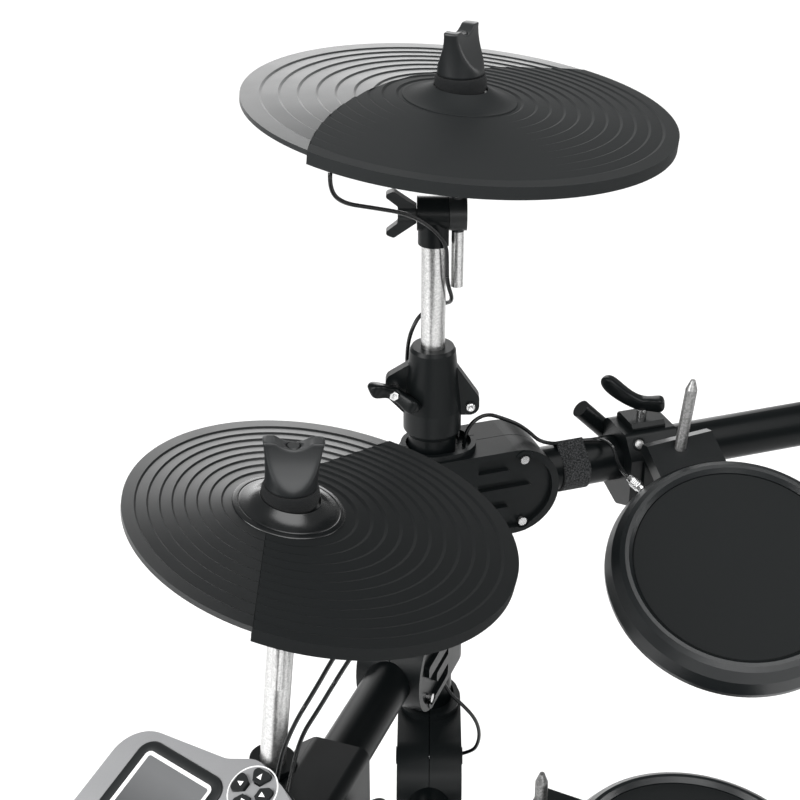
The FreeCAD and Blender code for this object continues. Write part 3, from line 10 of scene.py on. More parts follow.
import bmesh
import bpy
import numpy as np
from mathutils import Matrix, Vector

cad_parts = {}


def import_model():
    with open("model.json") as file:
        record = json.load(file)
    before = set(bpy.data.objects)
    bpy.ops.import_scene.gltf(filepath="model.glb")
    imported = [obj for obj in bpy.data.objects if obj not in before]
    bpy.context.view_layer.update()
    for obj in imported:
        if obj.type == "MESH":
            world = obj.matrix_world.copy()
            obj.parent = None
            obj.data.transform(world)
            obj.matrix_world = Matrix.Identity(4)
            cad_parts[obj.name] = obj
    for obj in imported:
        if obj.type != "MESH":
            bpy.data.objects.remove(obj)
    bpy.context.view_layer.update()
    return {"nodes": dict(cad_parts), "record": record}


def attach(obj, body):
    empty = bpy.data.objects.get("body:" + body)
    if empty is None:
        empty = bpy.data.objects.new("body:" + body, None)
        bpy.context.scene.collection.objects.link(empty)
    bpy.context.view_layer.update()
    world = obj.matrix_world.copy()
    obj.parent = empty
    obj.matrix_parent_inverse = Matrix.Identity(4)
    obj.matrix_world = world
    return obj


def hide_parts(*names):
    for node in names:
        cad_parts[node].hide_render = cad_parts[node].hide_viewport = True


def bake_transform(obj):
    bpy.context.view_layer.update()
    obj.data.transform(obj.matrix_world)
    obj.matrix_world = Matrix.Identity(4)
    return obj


LOG = logging.getLogger("drum_kit")
MM = 0.001
MICRON = 0.000001
Array = np.ndarray
Colour = tuple[float, float, float]
Spot = tuple[float, float, float]
Way = tuple[float, float, float]


class Value:
    """A shader socket that takes part in Python sums."""

    def __init__(self, graph: "Graph", socket: bpy.types.NodeSocket) -> None:
        """Keep the socket and the graph that owns it."""
        self.graph = graph
        self.socket = socket

    def _sum(self, operation: str, first: object, second: object) -> "Value":
        """Add a Math node on two values or numbers."""
        return self.graph.node("ShaderNodeMath", {"operation": operation}, {0: first, 1: second})

    def __add__(self, other: object) -> "Value":
        """Return this plus other."""
        return self._sum("ADD", self, other)

    def __sub__(self, other: object) -> "Value":
        """Return this minus other."""
        return self._sum("SUBTRACT", self, other)

    def __rsub__(self, other: object) -> "Value":
        """Return other minus this."""
        return self._sum("SUBTRACT", other, self)

    def __mul__(self, other: object) -> "Value":
        """Return this times other."""
        return self._sum("MULTIPLY", self, other)

    def above(self, edge: float) -> "Value":
        """Return one where this is over an edge, and zero elsewhere."""
        return self._sum("GREATER_THAN", self, edge)

    def sine(self) -> "Value":
        """Return the sine of this."""
        return self._sum("SINE", self, 0.0)


class Graph:
    """One material's nodes, with a principled shader ready for its sockets."""

    def __init__(self, name: str) -> None:
        """Make an empty material with a principled shader.

        Args:
            name: the material's name.
        """
        self.material = bpy.data.materials.new(name)
        self.material.use_nodes = True
        self.tree = self.material.node_tree
        self.tree.nodes.clear()
        self.shader = self.tree.nodes.new("ShaderNodeBsdfPrincipled")
        output = self.tree.nodes.new("ShaderNodeOutputMaterial")
        self.tree.links.new(self.shader.outputs[0], output.inputs[0])

    def node(self, kind: str, settings: dict, inputs: dict, output: int | str = 0) -> Value:
        """Add any node.

        Args:
            kind: the node's type.
            settings: attributes that are set first.
            inputs: socket name or index to a number, colour or Value.
            output: which output comes back.

        Returns:
            The chosen output as a Value.
        """
        made = self.tree.nodes.new(kind)
        for key, setting in settings.items():
            setattr(made, key, setting)
        for key, value in inputs.items():
            self.feed(made.inputs[key], value)
        return Value(self, made.outputs[output])

    def feed(self, socket: bpy.types.NodeSocket, value: object) -> None:
        """Link a Value to a socket, or set a plain number or colour on it.

        Args:
            socket: the socket.
            value: what it takes.
        """
        if isinstance(value, Value):
            self.tree.links.new(value.socket, socket)
        else:
            socket.default_value = value

    def place(self) -> Value:
        """Return the piece's own coordinates in metres."""
        return self.node("ShaderNodeTexCoord", {}, {}, "Object")

    def noise(self, scale: float, detail: float = 3.0, distortion: float = 0.0) -> Value:
        """Return cloudy noise between zero and one at a scale per metre."""
        return self.node("ShaderNodeTexNoise", {}, {"Vector": self.place(), "Scale": scale, "Detail": detail,
                                                    "Distortion": distortion}, "Fac")

    def vector(self, operation: str, first: Value, second: Array | Way | None = None,
               output: str = "Vector") -> Value:
        """Add a Vector Math node on a vector and, where there is one, a constant vector."""
        inputs = {0: first} if second is None else {0: first, 1: tuple(second)}
        return self.node("ShaderNodeVectorMath", {"operation": operation}, inputs, output)

    def mix(self, share: object, low: Colour, high: Colour | Value) -> Value:
        """Return a colour between two by a share."""
        top = high if isinstance(high, Value) else (*high, 1.0)
        return self.node("ShaderNodeMix", {"data_type": "RGBA"}, {0: share, 6: (*low, 1.0), 7: top}, 2)

    def bump(self, height: Value, depth: float, strength: float = 1.0) -> Value:
        """Return a normal raised by a height that stands for a depth in metres."""
        return self.node("ShaderNodeBump", {}, {"Height": height, "Distance": depth, "Strength": strength})

    def set(self, **sockets: object) -> bpy.types.Material:
        """Feed the shader's sockets, with spaces written as underscores.

        Args:
            sockets: socket names to values.

        Returns:
            The material.
        """
        for key, value in sockets.items():
            self.feed(self.shader.inputs[key.replace("_", " ")], value)
        return self.material


@dataclass(frozen=True)
class Grained:
    """A surface with a slow cloud and a fine grain.

    The colour goes to its bloom, or to dust_share times itself, with cloud * cloud_share plus
    grain * (1 - cloud_share); the roughness adds a part of each; and the grain is raised by its depth.
    """

    colour: Colour
    roughness: float
    level: float = 0.5
    bloom: Colour | None = None
    dust_share: float = 1.35
    clouds: float = 38.0
    cloud_share: float = 1.0
    cloud_gloss: float = 0.10
    grain: float = 2600.0
    grain_detail: float = 2.0
    grain_gloss: float = 0.0
    depth: float = 20.0 * MICRON
    metal_share: float = 0.0
    coat: float = 0.0
    coat_roughness: float = 0.03

    def material(self, name: str) -> bpy.types.Material:
        """Return the finish as a material.

        Args:
            name: the material's name.

        Returns:
            The material.
        """
        graph = Graph(name)
        cloud = graph.noise(self.clouds)
        grain = graph.noise(self.grain, self.grain_detail)
        share = cloud * self.cloud_share + grain * (1.0 - self.cloud_share)
        bloom = self.bloom or tuple(self.dust_share * part for part in self.colour)
        return graph.set(Base_Color=graph.mix(share, self.colour, bloom), Metallic=self.metal_share,
                         Roughness=cloud * self.cloud_gloss + grain * self.grain_gloss + self.roughness,
                         Normal=graph.bump(grain, self.depth), Specular_IOR_Level=self.level,
                         Coat_Weight=self.coat, Coat_Roughness=self.coat_roughness)


@dataclass(frozen=True)
class ZincPlate:
    """Mottled zinc plate on steel: small crystals that catch the light in turn."""

    dark: Colour = (0.34, 0.34, 0.34)
    light: Colour = (0.68, 0.68, 0.67)
    crystals: float = 900.0
    crystal_share: float = 0.6
    stains: float = 300.0
    roughness: float = 0.26
    gloss: float = 0.14
    depth: float = 10.0 * MICRON
    relief: float = 0.5

    def material(self, name: str) -> bpy.types.Material:
        """Return the finish as a material.

        Args:
            name: the material's name.

        Returns:
            The material.
        """
        graph = Graph(name)
        share = self.share(graph)
        return graph.set(Base_Color=graph.mix(share, self.dark, self.light), Metallic=1.0,
                         Roughness=share * self.gloss + self.roughness,
                         Normal=graph.bump(share, self.depth, self.relief))

    def share(self, graph: Graph) -> Value:
        """Return the crystals' tone between zero and one.

        Args:
            graph: the material's nodes.

        Returns:
            The tone.
        """
        spots = graph.node("ShaderNodeTexVoronoi", {"feature": "F1"},
                           {"Vector": graph.place(), "Scale": self.crystals, "Randomness": 1.0}, "Color")
        tone = graph.node("ShaderNodeSeparateColor", {}, {0: spots}, 0)
        stain = graph.noise(self.stains, detail=4.0)
        return tone * self.crystal_share + stain * (1.0 - self.crystal_share)


@dataclass(frozen=True)
class TilterParts:
    """A tilter's head and wing in black plastic round a zinc rod, told apart by distance from its axis.

    Plastic covers the rod from the first to the second of the bands, which are heights along the axis,
    and the nut covers it from the third band up.
    """

    plastic: Colour = (0.0045, 0.0055, 0.0058)
    zinc: ZincPlate = ZincPlate()
    rod_reach: float = 5.1 * MM
    bands: tuple = (-14.0 * MM, 14.0 * MM, 107.0 * MM)
    roughness: float = 0.36
    rod_gloss: float = 0.08
    grain: float = 2400.0
    depth: float = 20.0 * MICRON
    level: float = 0.35

    def material(self, name: str, origin: Array, axis: Array) -> bpy.types.Material:
        """Return the finish as a material.

        Args:
            name: the material's name.
            origin: a point on the rod's axis in metres.
            axis: the rod's direction.

        Returns:
            The material.
        """
        graph = Graph(name)
        away = graph.vector("SUBTRACT", graph.place(), origin)
        height = graph.vector("DOT_PRODUCT", away, axis, "Value")
        distance = graph.vector("LENGTH", graph.vector("CROSS_PRODUCT", away, axis), output="Value")
        low, high, nut = self.bands
        covered = height.above(low) * (1.0 - height.above(high)) + height.above(nut)
        rod = (1.0 - distance.above(self.rod_reach)) * (1.0 - covered)
        share = self.zinc.share(graph)
        metal = graph.mix(share, self.zinc.dark, self.zinc.light)
        return graph.set(Base_Color=graph.mix(rod, self.plastic, metal), Metallic=rod,
                         Roughness=self.roughness - rod * self.rod_gloss + share * self.rod_gloss,
                         Normal=graph.bump(graph.noise(self.grain, detail=2.0), self.depth),
                         Specular_IOR_Level=self.level)


@dataclass(frozen=True)
class PressedFelt:
    """Black pressed felt: tangled fibres and a fuzzy edge."""

    colour: Colour = (0.002, 0.0024, 0.0026)
    fibre: Colour = (0.016, 0.0168, 0.0175)
    fibres: float = 1300.0
    twist: float = 2.5
    roughness: float = 0.95
    depth: float = 600.0 * MICRON
    sheen: float = 0.04
    level: float = 0.1

    def material(self, name: str) -> bpy.types.Material:
        """Return the finish as a material.

        Args:
            name: the material's name.

        Returns:
            The material.
        """
        graph = Graph(name)
        tangle = graph.noise(self.fibres, detail=5.0, distortion=self.twist)
        return graph.set(Base_Color=graph.mix(tangle, self.colour, self.fibre), Roughness=self.roughness,
                         Normal=graph.bump(tangle, self.depth), Sheen_Weight=self.sheen,
                         Specular_IOR_Level=self.level)


@dataclass(frozen=True)
class WovenStrap:
    """Hook-and-loop strap: a close weave along the strap's own map, under a speckle of loops."""

    colour: Colour = (0.0022, 0.0027, 0.003)
    thread: Colour = (0.06, 0.062, 0.064)
    across: float = 22.0
    along: float = 150.0
    weave_share: float = 0.1
    loops: float = 900.0
    loop_share: float = 2.8
    loop_base: float = 1.2
    roughness: float = 0.85
    depth: float = 200.0 * MICRON
    sheen: float = 0.04
    level: float = 0.2

    def material(self, name: str) -> bpy.types.Material:
        """Return the finish as a material.

        Args:
            name: the material's name.

        Returns:
            The material.
        """
        graph = Graph(name)
        place = graph.node("ShaderNodeUVMap", {}, {})
        run = graph.node("ShaderNodeSeparateXYZ", {}, {0: place}, 0)
        breadth = graph.node("ShaderNodeSeparateXYZ", {}, {0: place}, 1)
        weave = (run * (self.along * math.tau)).sine() * (breadth * (self.across * math.tau)).sine()
        share = weave * self.weave_share + graph.noise(self.loops) * self.loop_share - self.loop_base
        return graph.set(Base_Color=graph.mix(share, self.colour, self.thread), Roughness=self.roughness,
                         Normal=graph.bump(share, self.depth), Sheen_Weight=self.sheen,
                         Specular_IOR_Level=self.level)


@dataclass(frozen=True)
class Display:
    """Unlit liquid-crystal panel under clear plastic, with a faint cloud; it is paler toward its top, a
    painted reflection of the light above.
    """

    low: Colour = (0.02, 0.021, 0.022)
    high: Colour = (0.11, 0.112, 0.115)
    span: float = 46.0 * MM
    painted_reflection_share: float = 0.9
    middle_share: float = 0.4
    clouds: float = 30.0
    cloud_share: float = 0.2
    roughness: float = 0.14
    gloss: float = 0.04
    coat: float = 0.4
    coat_roughness: float = 0.05

    def material(self, name: str, origin: Array, up: Way) -> bpy.types.Material:
        """Return the finish as a material.

        Args:
            name: the material's name.
            origin: the panel's middle in metres.
            up: the direction toward the panel's top.

        Returns:
            The material.
        """
        graph = Graph(name)
        rise = graph.vector("DOT_PRODUCT", graph.vector("SUBTRACT", graph.place(), origin), up, "Value")
        cloud = graph.noise(self.clouds)
        # Painted reflection: the panel's colour grows paler toward its top.
        share = rise * (self.painted_reflection_share / self.span) + cloud * self.cloud_share + self.middle_share
        return graph.set(Base_Color=graph.mix(share, self.low, self.high),
                         Roughness=share * self.gloss + self.roughness, Coat_Weight=self.coat,
                         Coat_Roughness=self.coat_roughness)


MOULDED = Grained((0.003, 0.0038, 0.004), 0.28, 0.14, grain_gloss=0.06, depth=30.0 * MICRON)
PAD_PLATE = Grained((0.0065, 0.0077, 0.0081), 0.30, 0.38, dust_share=1.3, cloud_gloss=0.08, grain_gloss=0.05)
RUBBER = Grained((0.0042, 0.0052, 0.0055), 0.70, 0.22, bloom=(0.0078, 0.0091, 0.0095), clouds=30.0,
                 cloud_share=0.7, cloud_gloss=0.08, grain=3400.0, depth=40.0 * MICRON)
# Pale ink: print on the button arrows, and a painted highlight on the panel's sloped edge and on the line
# round the buttons.
INK_AND_PAINTED_HIGHLIGHT = Grained((0.72, 0.72, 0.72), 0.45, bloom=(0.8, 0.8, 0.8), cloud_share=0.0, cloud_gloss=0.0, grain=1800.0,
              grain_gloss=0.1, depth=0.0)
SLOT_FINISHES = {
    "rack_tube": Grained((0.002, 0.0027, 0.0029), 0.26, 0.10, dust_share=1.3, clouds=24.0, cloud_gloss=0.08,
                         grain=900.0, grain_detail=1.0),
    "casting": MOULDED,
    "clamp_plastic": replace(MOULDED, colour=(0.0025, 0.0032, 0.0034), roughness=0.24),
    "bolt_steel": Grained((0.50, 0.50, 0.50), 0.2, dust_share=1.3, clouds=500.0, cloud_gloss=0.12,
                          grain=1800.0, grain_detail=3.0, depth=10.0 * MICRON, metal_share=1.0),
    "stand_steel": ZincPlate(),
    "foot_rubber": RUBBER,
    "plate_plastic": PAD_PLATE,
    "pad_rubber": RUBBER,
    "felt": PressedFelt(),
    "nut_plastic": replace(MOULDED, colour=(0.0065, 0.0075, 0.008), roughness=0.34, level=0.5),
    "shell_plastic": replace(MOULDED, colour=(0.0035, 0.0045, 0.005), roughness=0.22, level=0.4),
    "head_rubber": replace(RUBBER, colour=(0.0028, 0.0036, 0.0038), bloom=(0.0048, 0.0058, 0.0061),
                           level=0.18),
    "strap_cloth": WovenStrap(),
    "cable_jacket": Grained((0.0022, 0.0026, 0.0028), 0.2, 0.3, dust_share=1.6, clouds=120.0, grain=1500.0),
    "module_silver": Grained((0.195, 0.197, 0.202), 0.4, bloom=(0.33, 0.332, 0.338), clouds=20.0,
                             cloud_share=0.4, cloud_gloss=0.06, grain=4200.0, grain_detail=1.0,
                             depth=10.0 * MICRON, metal_share=0.45, coat=0.2, coat_roughness=0.25),
    "module_black": replace(MOULDED, colour=(0.004, 0.005, 0.0053), roughness=0.42, level=0.3),
    "button_rubber": replace(RUBBER, colour=(0.006, 0.007, 0.0075), roughness=0.5),
}
OWN_FINISHES = {
    "bell_gloss": replace(MOULDED, colour=(0.002, 0.0025, 0.0027), roughness=0.16, level=0.5),
    # Painted shade: the hi-hat's plate and strike rubber are darker copies of the pad finishes, for the dimmer
    # look of a pad seen less aslant.
    "hihat_plate_painted_shade": replace(PAD_PLATE, colour=(0.0024, 0.003, 0.0032), level=0.5),
    "hihat_rubber_painted_shade": replace(RUBBER, colour=(0.0018, 0.0025, 0.0027), bloom=(0.0034, 0.0043, 0.0046),
                                   level=0.16),
    "pad_rod_zinc": ZincPlate((0.13, 0.13, 0.13), (0.4, 0.4, 0.395), crystals=700.0, roughness=0.36),
    "panel_edge_painted_highlight": replace(INK_AND_PAINTED_HIGHLIGHT, colour=(0.558, 0.558, 0.558), bloom=(0.62, 0.62, 0.62)),
    "mark_ink": INK_AND_PAINTED_HIGHLIGHT,
}


UPRIGHT = (0.0, 0.0, 1.0)
# Directions off an axis, from which the steps round it start
CABLE_SIDE = (0.3, 0.5, 0.81)
PLUG_SIDE = (0.2, 0.4, 0.7)
CYMBAL_SIDE = (0.1, 1.0, 0.2)
SCREW_SIDE = (1.0, 0.4, 0.0)


def unit(vector: Array | Way) -> Array:
    """Return a vector, or each row of an array, at length one."""
    return np.asarray(vector) / np.linalg.norm(vector, axis=-1, keepdims=True)


def turns(steps: int) -> Array:
    """Return equal steps round a whole turn, the last one short of the first."""
    return np.linspace(0.0, math.tau, steps, endpoint=False)


def around(angle: Array, first: Array, second: Array) -> Array:
    """Return the directions at angles from a first direction toward a second."""
    return np.cos(angle)[:, None] * first + np.sin(angle)[:, None] * second


def grid_object(name: str, points: Array, round_u: bool, round_v: bool, smooth: bool = True,
                capped: bool = False) -> bpy.types.Object:
    """Make an object from a grid of points.

    Faces join each point to the next along both directions; a round direction also joins its last
    row to its first. Capped fills the two ends of a tube that is round along its second direction,
    and an end of such a tube that is one point becomes one vertex.

    Args:
        name: the object's name.
        points: an array of shape (rows, columns, 3) in metres.
        round_u: whether the rows close on themselves.
        round_v: whether the columns close on themselves.
        smooth: whether faces are shaded smooth.
        capped: whether the first and last rows are filled.

    Returns:
        The new object, linked to the scene.
    """
    rows, columns = points.shape[:2]
    index = np.arange(rows * columns).reshape(rows, columns)
    u_next = np.roll(index, -1, axis=0)
    v_next = np.roll(index, -1, axis=1)
    both = np.roll(u_next, -1, axis=1)
    quads = np.stack([index, v_next, both, u_next], axis=-1)
    quads = quads[:rows if round_u else rows - 1, :columns if round_v else columns - 1].reshape(-1, 4)
    faces = quads.tolist()
    if capped:
        faces += [index[0][::-1].tolist(), index[-1].tolist()]
    mesh = bpy.data.meshes.new(name)
    mesh.from_pydata(points.reshape(-1, 3).tolist(), [], faces)
    mesh.polygons.foreach_set("use_smooth", np.full(len(faces), smooth))
    if round_v:
        close_poles(mesh)
    mesh.update()
    made = bpy.data.objects.new(name, mesh)
    bpy.context.scene.collection.objects.link(made)
    return made


def close_poles(mesh: bpy.types.Mesh) -> None:
    """Merge the vertices of a mesh that share one place.

    Args:
        mesh: a mesh whose poles are rings of no width.
    """
    shell = bmesh.new()
    shell.from_mesh(mesh)
    bmesh.ops.remove_doubles(shell, verts=shell.verts, dist=MICRON)
    shell.to_mesh(mesh)
    shell.free()


def carried(profile: Array, origin: Array, x_axis: Array | Way, z_axis: Array | Way,
            segments: int) -> Array:
    """Return the surface that (radius, height) profile points sweep about an axis.

    A point at angle a is origin + radius * (cos a * x + sin a * y) + height * z.

    Args:
        profile: an array of (radius, height) rows.
        origin: the axis's start.
        x_axis: any direction off the axis.
        z_axis: the axis.
        segments: how many steps go round.

    Returns:
        An array of shape (profile rows, segments, 3).
    """
    z_unit = unit(z_axis)
    y_unit = unit(np.cross(z_unit, x_axis))
    ring = around(turns(segments), np.cross(y_unit, z_unit), y_unit)
    return origin + profile[:, 0, None, None] * ring + profile[:, 1, None, None] * z_unit


def tube_surface(line: Array, radius: float, segments: int = 14) -> Array:
    """Return a round tube along a line of points.

    Each ring is the point plus radius * (cos a * side + sin a * up), where side and up are carried
    along the line so that they stay square to it and turn as little as they can.

    Args:
        line: points in metres.
        radius: the tube's radius.
        segments: how many steps go round.

    Returns:
        An array of shape (points, segments, 3).
    """
    along = unit(np.gradient(line, axis=0))
    side = np.cross(along[0], CABLE_SIDE)
    sides = []
    for direction in along:
        side = unit(side - direction * np.dot(side, direction))
        sides.append(side)
    sides = np.array(sides)
    ups = np.cross(along, sides)
    return line[:, None, :] + radius * around(turns(segments), sides[:, None, :], ups[:, None, :])


@dataclass(frozen=True)
class Workshop:
    """The left front post's foot, from which pieces are placed, and the materials that they wear."""

    foot: Array
    finishes: dict[str, bpy.types.Material] = field(default_factory=dict)

    def at(self, spot: Spot | Array) -> Array:
        """Return a point given in millimetres from the post's foot."""
        return self.foot + np.array(spot) * MM

    def dress(self, made: bpy.types.Object, slot: str, finish: str = "") -> bpy.types.Object:
        """Give a new piece a finish, which is its slot's own unless another is named.

        Args:
            made: the piece.
            slot: its material slot.
            finish: the finish's name, where that isn't the slot's.

        Returns:
            The piece.
        """
        made.data.materials.append(self.finishes[finish or slot])
        LOG.info("%s in %s", made.name, slot)
        return made

    def piece(self, name: str, points: Array, slot: str, body: str, closed: bool = False, smooth: bool = True,
              capped: bool = False, finish: str = "") -> bpy.types.Object:
        """Make a piece that is round along its grid's second direction and rides on a body.

        Args:
            name: the piece's name.
            points: an array of shape (rows, columns, 3) in metres.
            slot: its material slot.
            body: what carries it.
            closed: whether the rows close on themselves too.
            smooth: whether faces are shaded smooth.
            capped: whether the first and last rows are filled.
            finish: the finish it wears where that isn't its slot's own.

        Returns:
            The piece.
        """
        made = self.dress(grid_object(name, points, closed, True, smooth, capped), slot, finish)
        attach(made, body)
        return made


@dataclass(frozen=True)
class CableStretch:
    """A stretch of a cable between two bodies, or on one: shares of its length and what it follows."""

    name: str
    low_body: str
    high_body: str
    start: float
    end: float


@dataclass(frozen=True)
class Cable:
    """One pad cable: a smooth line through its route, made as tube stretches."""

    name: str
    route: tuple
    stretches: tuple
    diameter: float = 3.2 * MM
    spline_order: int = 3
    spline_steps: int = 8

    def line(self, shop: Workshop) -> Array:
        """Return points read from the route's spline, 2 mm or so apart.

        Args:
            shop: where the route starts from.

        Returns:
            Points in metres.
        """
        data = bpy.data.curves.new(self.name + "_route", "CURVE")
        data.dimensions = "3D"
        spline = data.splines.new("NURBS")
        spline.points.add(len(self.route) - 1)
        for knot, spot in zip(spline.points, self.route):
            knot.co = (*shop.at(spot), 1.0)
        spline.order_u = self.spline_order
        spline.use_endpoint_u = True
        spline.resolution_u = self.spline_steps
        holder = bpy.data.objects.new(self.name + "_route", data)
        bpy.context.scene.collection.objects.link(holder)
        bpy.context.view_layer.update()
        mesh = bpy.data.meshes.new_from_object(holder)
        points = np.zeros(len(mesh.vertices) * 3)
        mesh.vertices.foreach_get("co", points)
        bpy.data.objects.remove(holder)
        bpy.data.curves.remove(data)
        bpy.data.meshes.remove(mesh)
        return points.reshape(-1, 3)

    def build(self, shop: Workshop, plugs: list[bpy.types.Object]) -> list[bpy.types.Object]:
        """Make the cable's stretches.

        Args:
            shop: where the route starts from, and the finishes.
            plugs: the plugs on the cable's first end; not used.

        Returns:
            The stretches, in order.
        """
        line = self.line(shop)
        made = []
        for stretch in self.stretches:
            first = round(stretch.start * (len(line) - 1))
            last = round(stretch.end * (len(line) - 1))
            points = line[first:last + 1]
            surface = tube_surface(points, self.diameter / 2)
            piece = grid_object(stretch.name, surface, False, True, capped=True)
            shop.dress(piece, "cable_jacket")
            if stretch.low_body == stretch.high_body:
                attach(piece, stretch.low_body)
            else:
                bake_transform(piece)
            made.append(piece)
        return made


@dataclass(frozen=True)
class Plug:
    """A small plug in a pad's jack: a bright sleeve, a ribbed grip and a tapered boot.

    Outlines are (radius, height) rows in millimetres, and a rib's heights start at its own foot.
    """

    name: str
    at: Spot
    away: Way
    body: str
    sleeve: tuple = ((0.0, 0.0), (3.4, 0.0), (3.6, 0.3), (3.6, 3.4), (4.3, 3.7), (4.5, 4.2))
    rib: tuple = ((4.5, 0.0), (4.5, 0.7), (4.0, 0.9), (4.0, 1.3))
    rib_feet: tuple = (4.6, 6.1, 7.6, 9.1)
    boot: tuple = ((4.4, 10.9), (4.2, 11.4), (3.2, 12.0), (2.9, 15.2), (2.5, 15.9), (0.0, 16.0))

    def build(self, shop: Workshop) -> bpy.types.Object:
        """Make the plug as a turned shape.

        Args:
            shop: where its place starts from, and the finishes.

        Returns:
            The plug.
        """
        ribs = [(radius, foot + up) for foot in self.rib_feet for radius, up in self.rib]
        profile = np.array([*self.sleeve, *ribs, *self.boot]) * MM
        surface = carried(profile, shop.at(self.at), np.cross(self.away, PLUG_SIDE), self.away, segments=32)
        return shop.piece(self.name, surface, "bolt_steel", self.body)


@dataclass(frozen=True)
class CableSet:
    """All cables that show, in millimetres from the left post's foot."""

    crash: tuple = (
        (-100.0, -68.4, 1052.9), (-101.0, -68.1, 1041.0), (-90.8, -62.0, 1027.0), (-62.6, -44.2, 1013.5),
        (-29.9, -25.7, 998.0), (-9.6, -18.9, 983.0), (4.0, -16.2, 966.0), (6.0, -12.6, 948.0),
        (6.6, -11.7, 932.0), (15.3, -3.1, 912.0), (12.4, 11.6, 904.0), (-3.8, 16.6, 897.0),
        (-13.5, 13.1, 884.0), (-15.1, 17.8, 866.0), (-13.1, 23.5, 840.0), (-1.1, 27.8, 820.0),
        (16.3, 23.0, 808.0), (26.3, 12.2, 799.0), (25.4, 5.9, 782.0))
    hihat_front: tuple = ((-113.7, -245.1, 840.8), (-116.0, -244.3, 829.1), (-125.0, -236.9, 813.0),
                          (-138.4, -229.7, 795.0), (-149.8, -225.8, 774.0), (-163.0, -221.3, 745.0),
                          (-176.3, -216.8, 718.0), (-186.4, -215.4, 692.0), (-195.0, -225.2, 666.0),
                          (-208.1, -245.0, 647.0), (-222.9, -263.7, 641.0), (-243.2, -288.5, 641.0))
    hihat_back: tuple = ((-84.5, -237.1, 834.0), (-86.7, -236.3, 822.3), (-96.0, -229.3, 805.0),
                         (-109.4, -222.1, 790.0), (-122.5, -217.1, 779.0), (-133.9, -213.2, 761.5),
                         (-145.2, -209.4, 739.0), (-156.6, -205.5, 715.0), (-169.9, -204.2, 693.0),
                         (-181.6, -217.0, 669.0), (-194.4, -239.1, 648.0), (-213.4, -265.0, 641.0),
                         (-237.1, -293.6, 641.0))
    tom: tuple = ((146.7, -59.8, 761.9), (142.0, -49.6, 766.1), (151.0, -23.0, 771.0), (146.0, 0.0, 766.6),
                  (99.0, 0.0, 766.6), (78.0, -3.0, 791.0), (58.0, -4.0, 803.0), (45.0, -5.0, 809.5),
                  (33.0, -6.0, 806.0), (25.5, -6.0, 795.0), (25.0, -6.0, 782.0))
    loop: tuple = ((1.7, -25.9, 583.0), (2.0, -26.6, 570.0), (7.7, -30.1, 557.0), (19.1, -34.0, 544.0),
                   (29.2, -35.3, 529.0), (34.4, -33.9, 513.0), (34.9, -30.9, 497.0), (31.0, -26.9, 485.0),
                   (20.3, -20.0, 479.5))
    plugs: tuple = (
        Plug("crash_plug", (-98.7, -68.9, 1068.9), (-0.0825, 0.0281, -0.9962), "crash_pad"),
        Plug("hihat_front_plug", (-110.7, -246.1, 856.6), (-0.1904, 0.0648, -0.9796), "hihat_pad"),
        Plug("hihat_back_plug", (-81.4, -238.1, 849.8), (-0.1904, 0.0648, -0.9796), "hihat_pad"),
        Plug("tom_plug", (153.0, -73.5, 756.3), (-0.3915, 0.8519, 0.3478), "tom_1_pad"))

    def cables(self) -> list[Cable]:
        """Return the cables with the bodies that their stretches join.

        Returns:
            The cables, in order.
        """
        cymbals = []
        for name, route, pad, split in (("crash", self.crash, "crash", 0.42),
                                        ("hihat_front", self.hihat_front, "hihat", 0.5),
                                        ("hihat_back", self.hihat_back, "hihat", 0.5)):
            upper = CableStretch(name + "_cable_upper", pad + "_stand", pad + "_pad", 0.0, split)
            lower = CableStretch(name + "_cable_lower", "rack", pad + "_stand", split, 1.0)
            cymbals.append(Cable(name, route, (upper, lower)))
        return [
            *cymbals,
            Cable("tom", self.tom, (CableStretch("tom_cable_upper", "tom_1_arm", "tom_1_pad", 0.0, 0.16),
                                    CableStretch("tom_cable_middle", "rack", "tom_1_arm", 0.16, 0.34),
                                    CableStretch("tom_cable_lower", "rack", "rack", 0.34, 1.0))),
            Cable("loop", self.loop, (CableStretch("loop_cable", "rack", "rack", 0.0, 1.0),)),
        ]

    def build(self, shop: Workshop) -> None:
        """Make every plug and cable in place of the CAD cables.

        Args:
            shop: where its place starts from, and the finishes.
        """
        ends = {plug.name.removesuffix("_plug"): [plug.build(shop)] for plug in self.plugs}
        made = []
        for cable in self.cables():
            made += cable.build(shop, ends.get(cable.name, []))
        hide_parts("pad_cables")


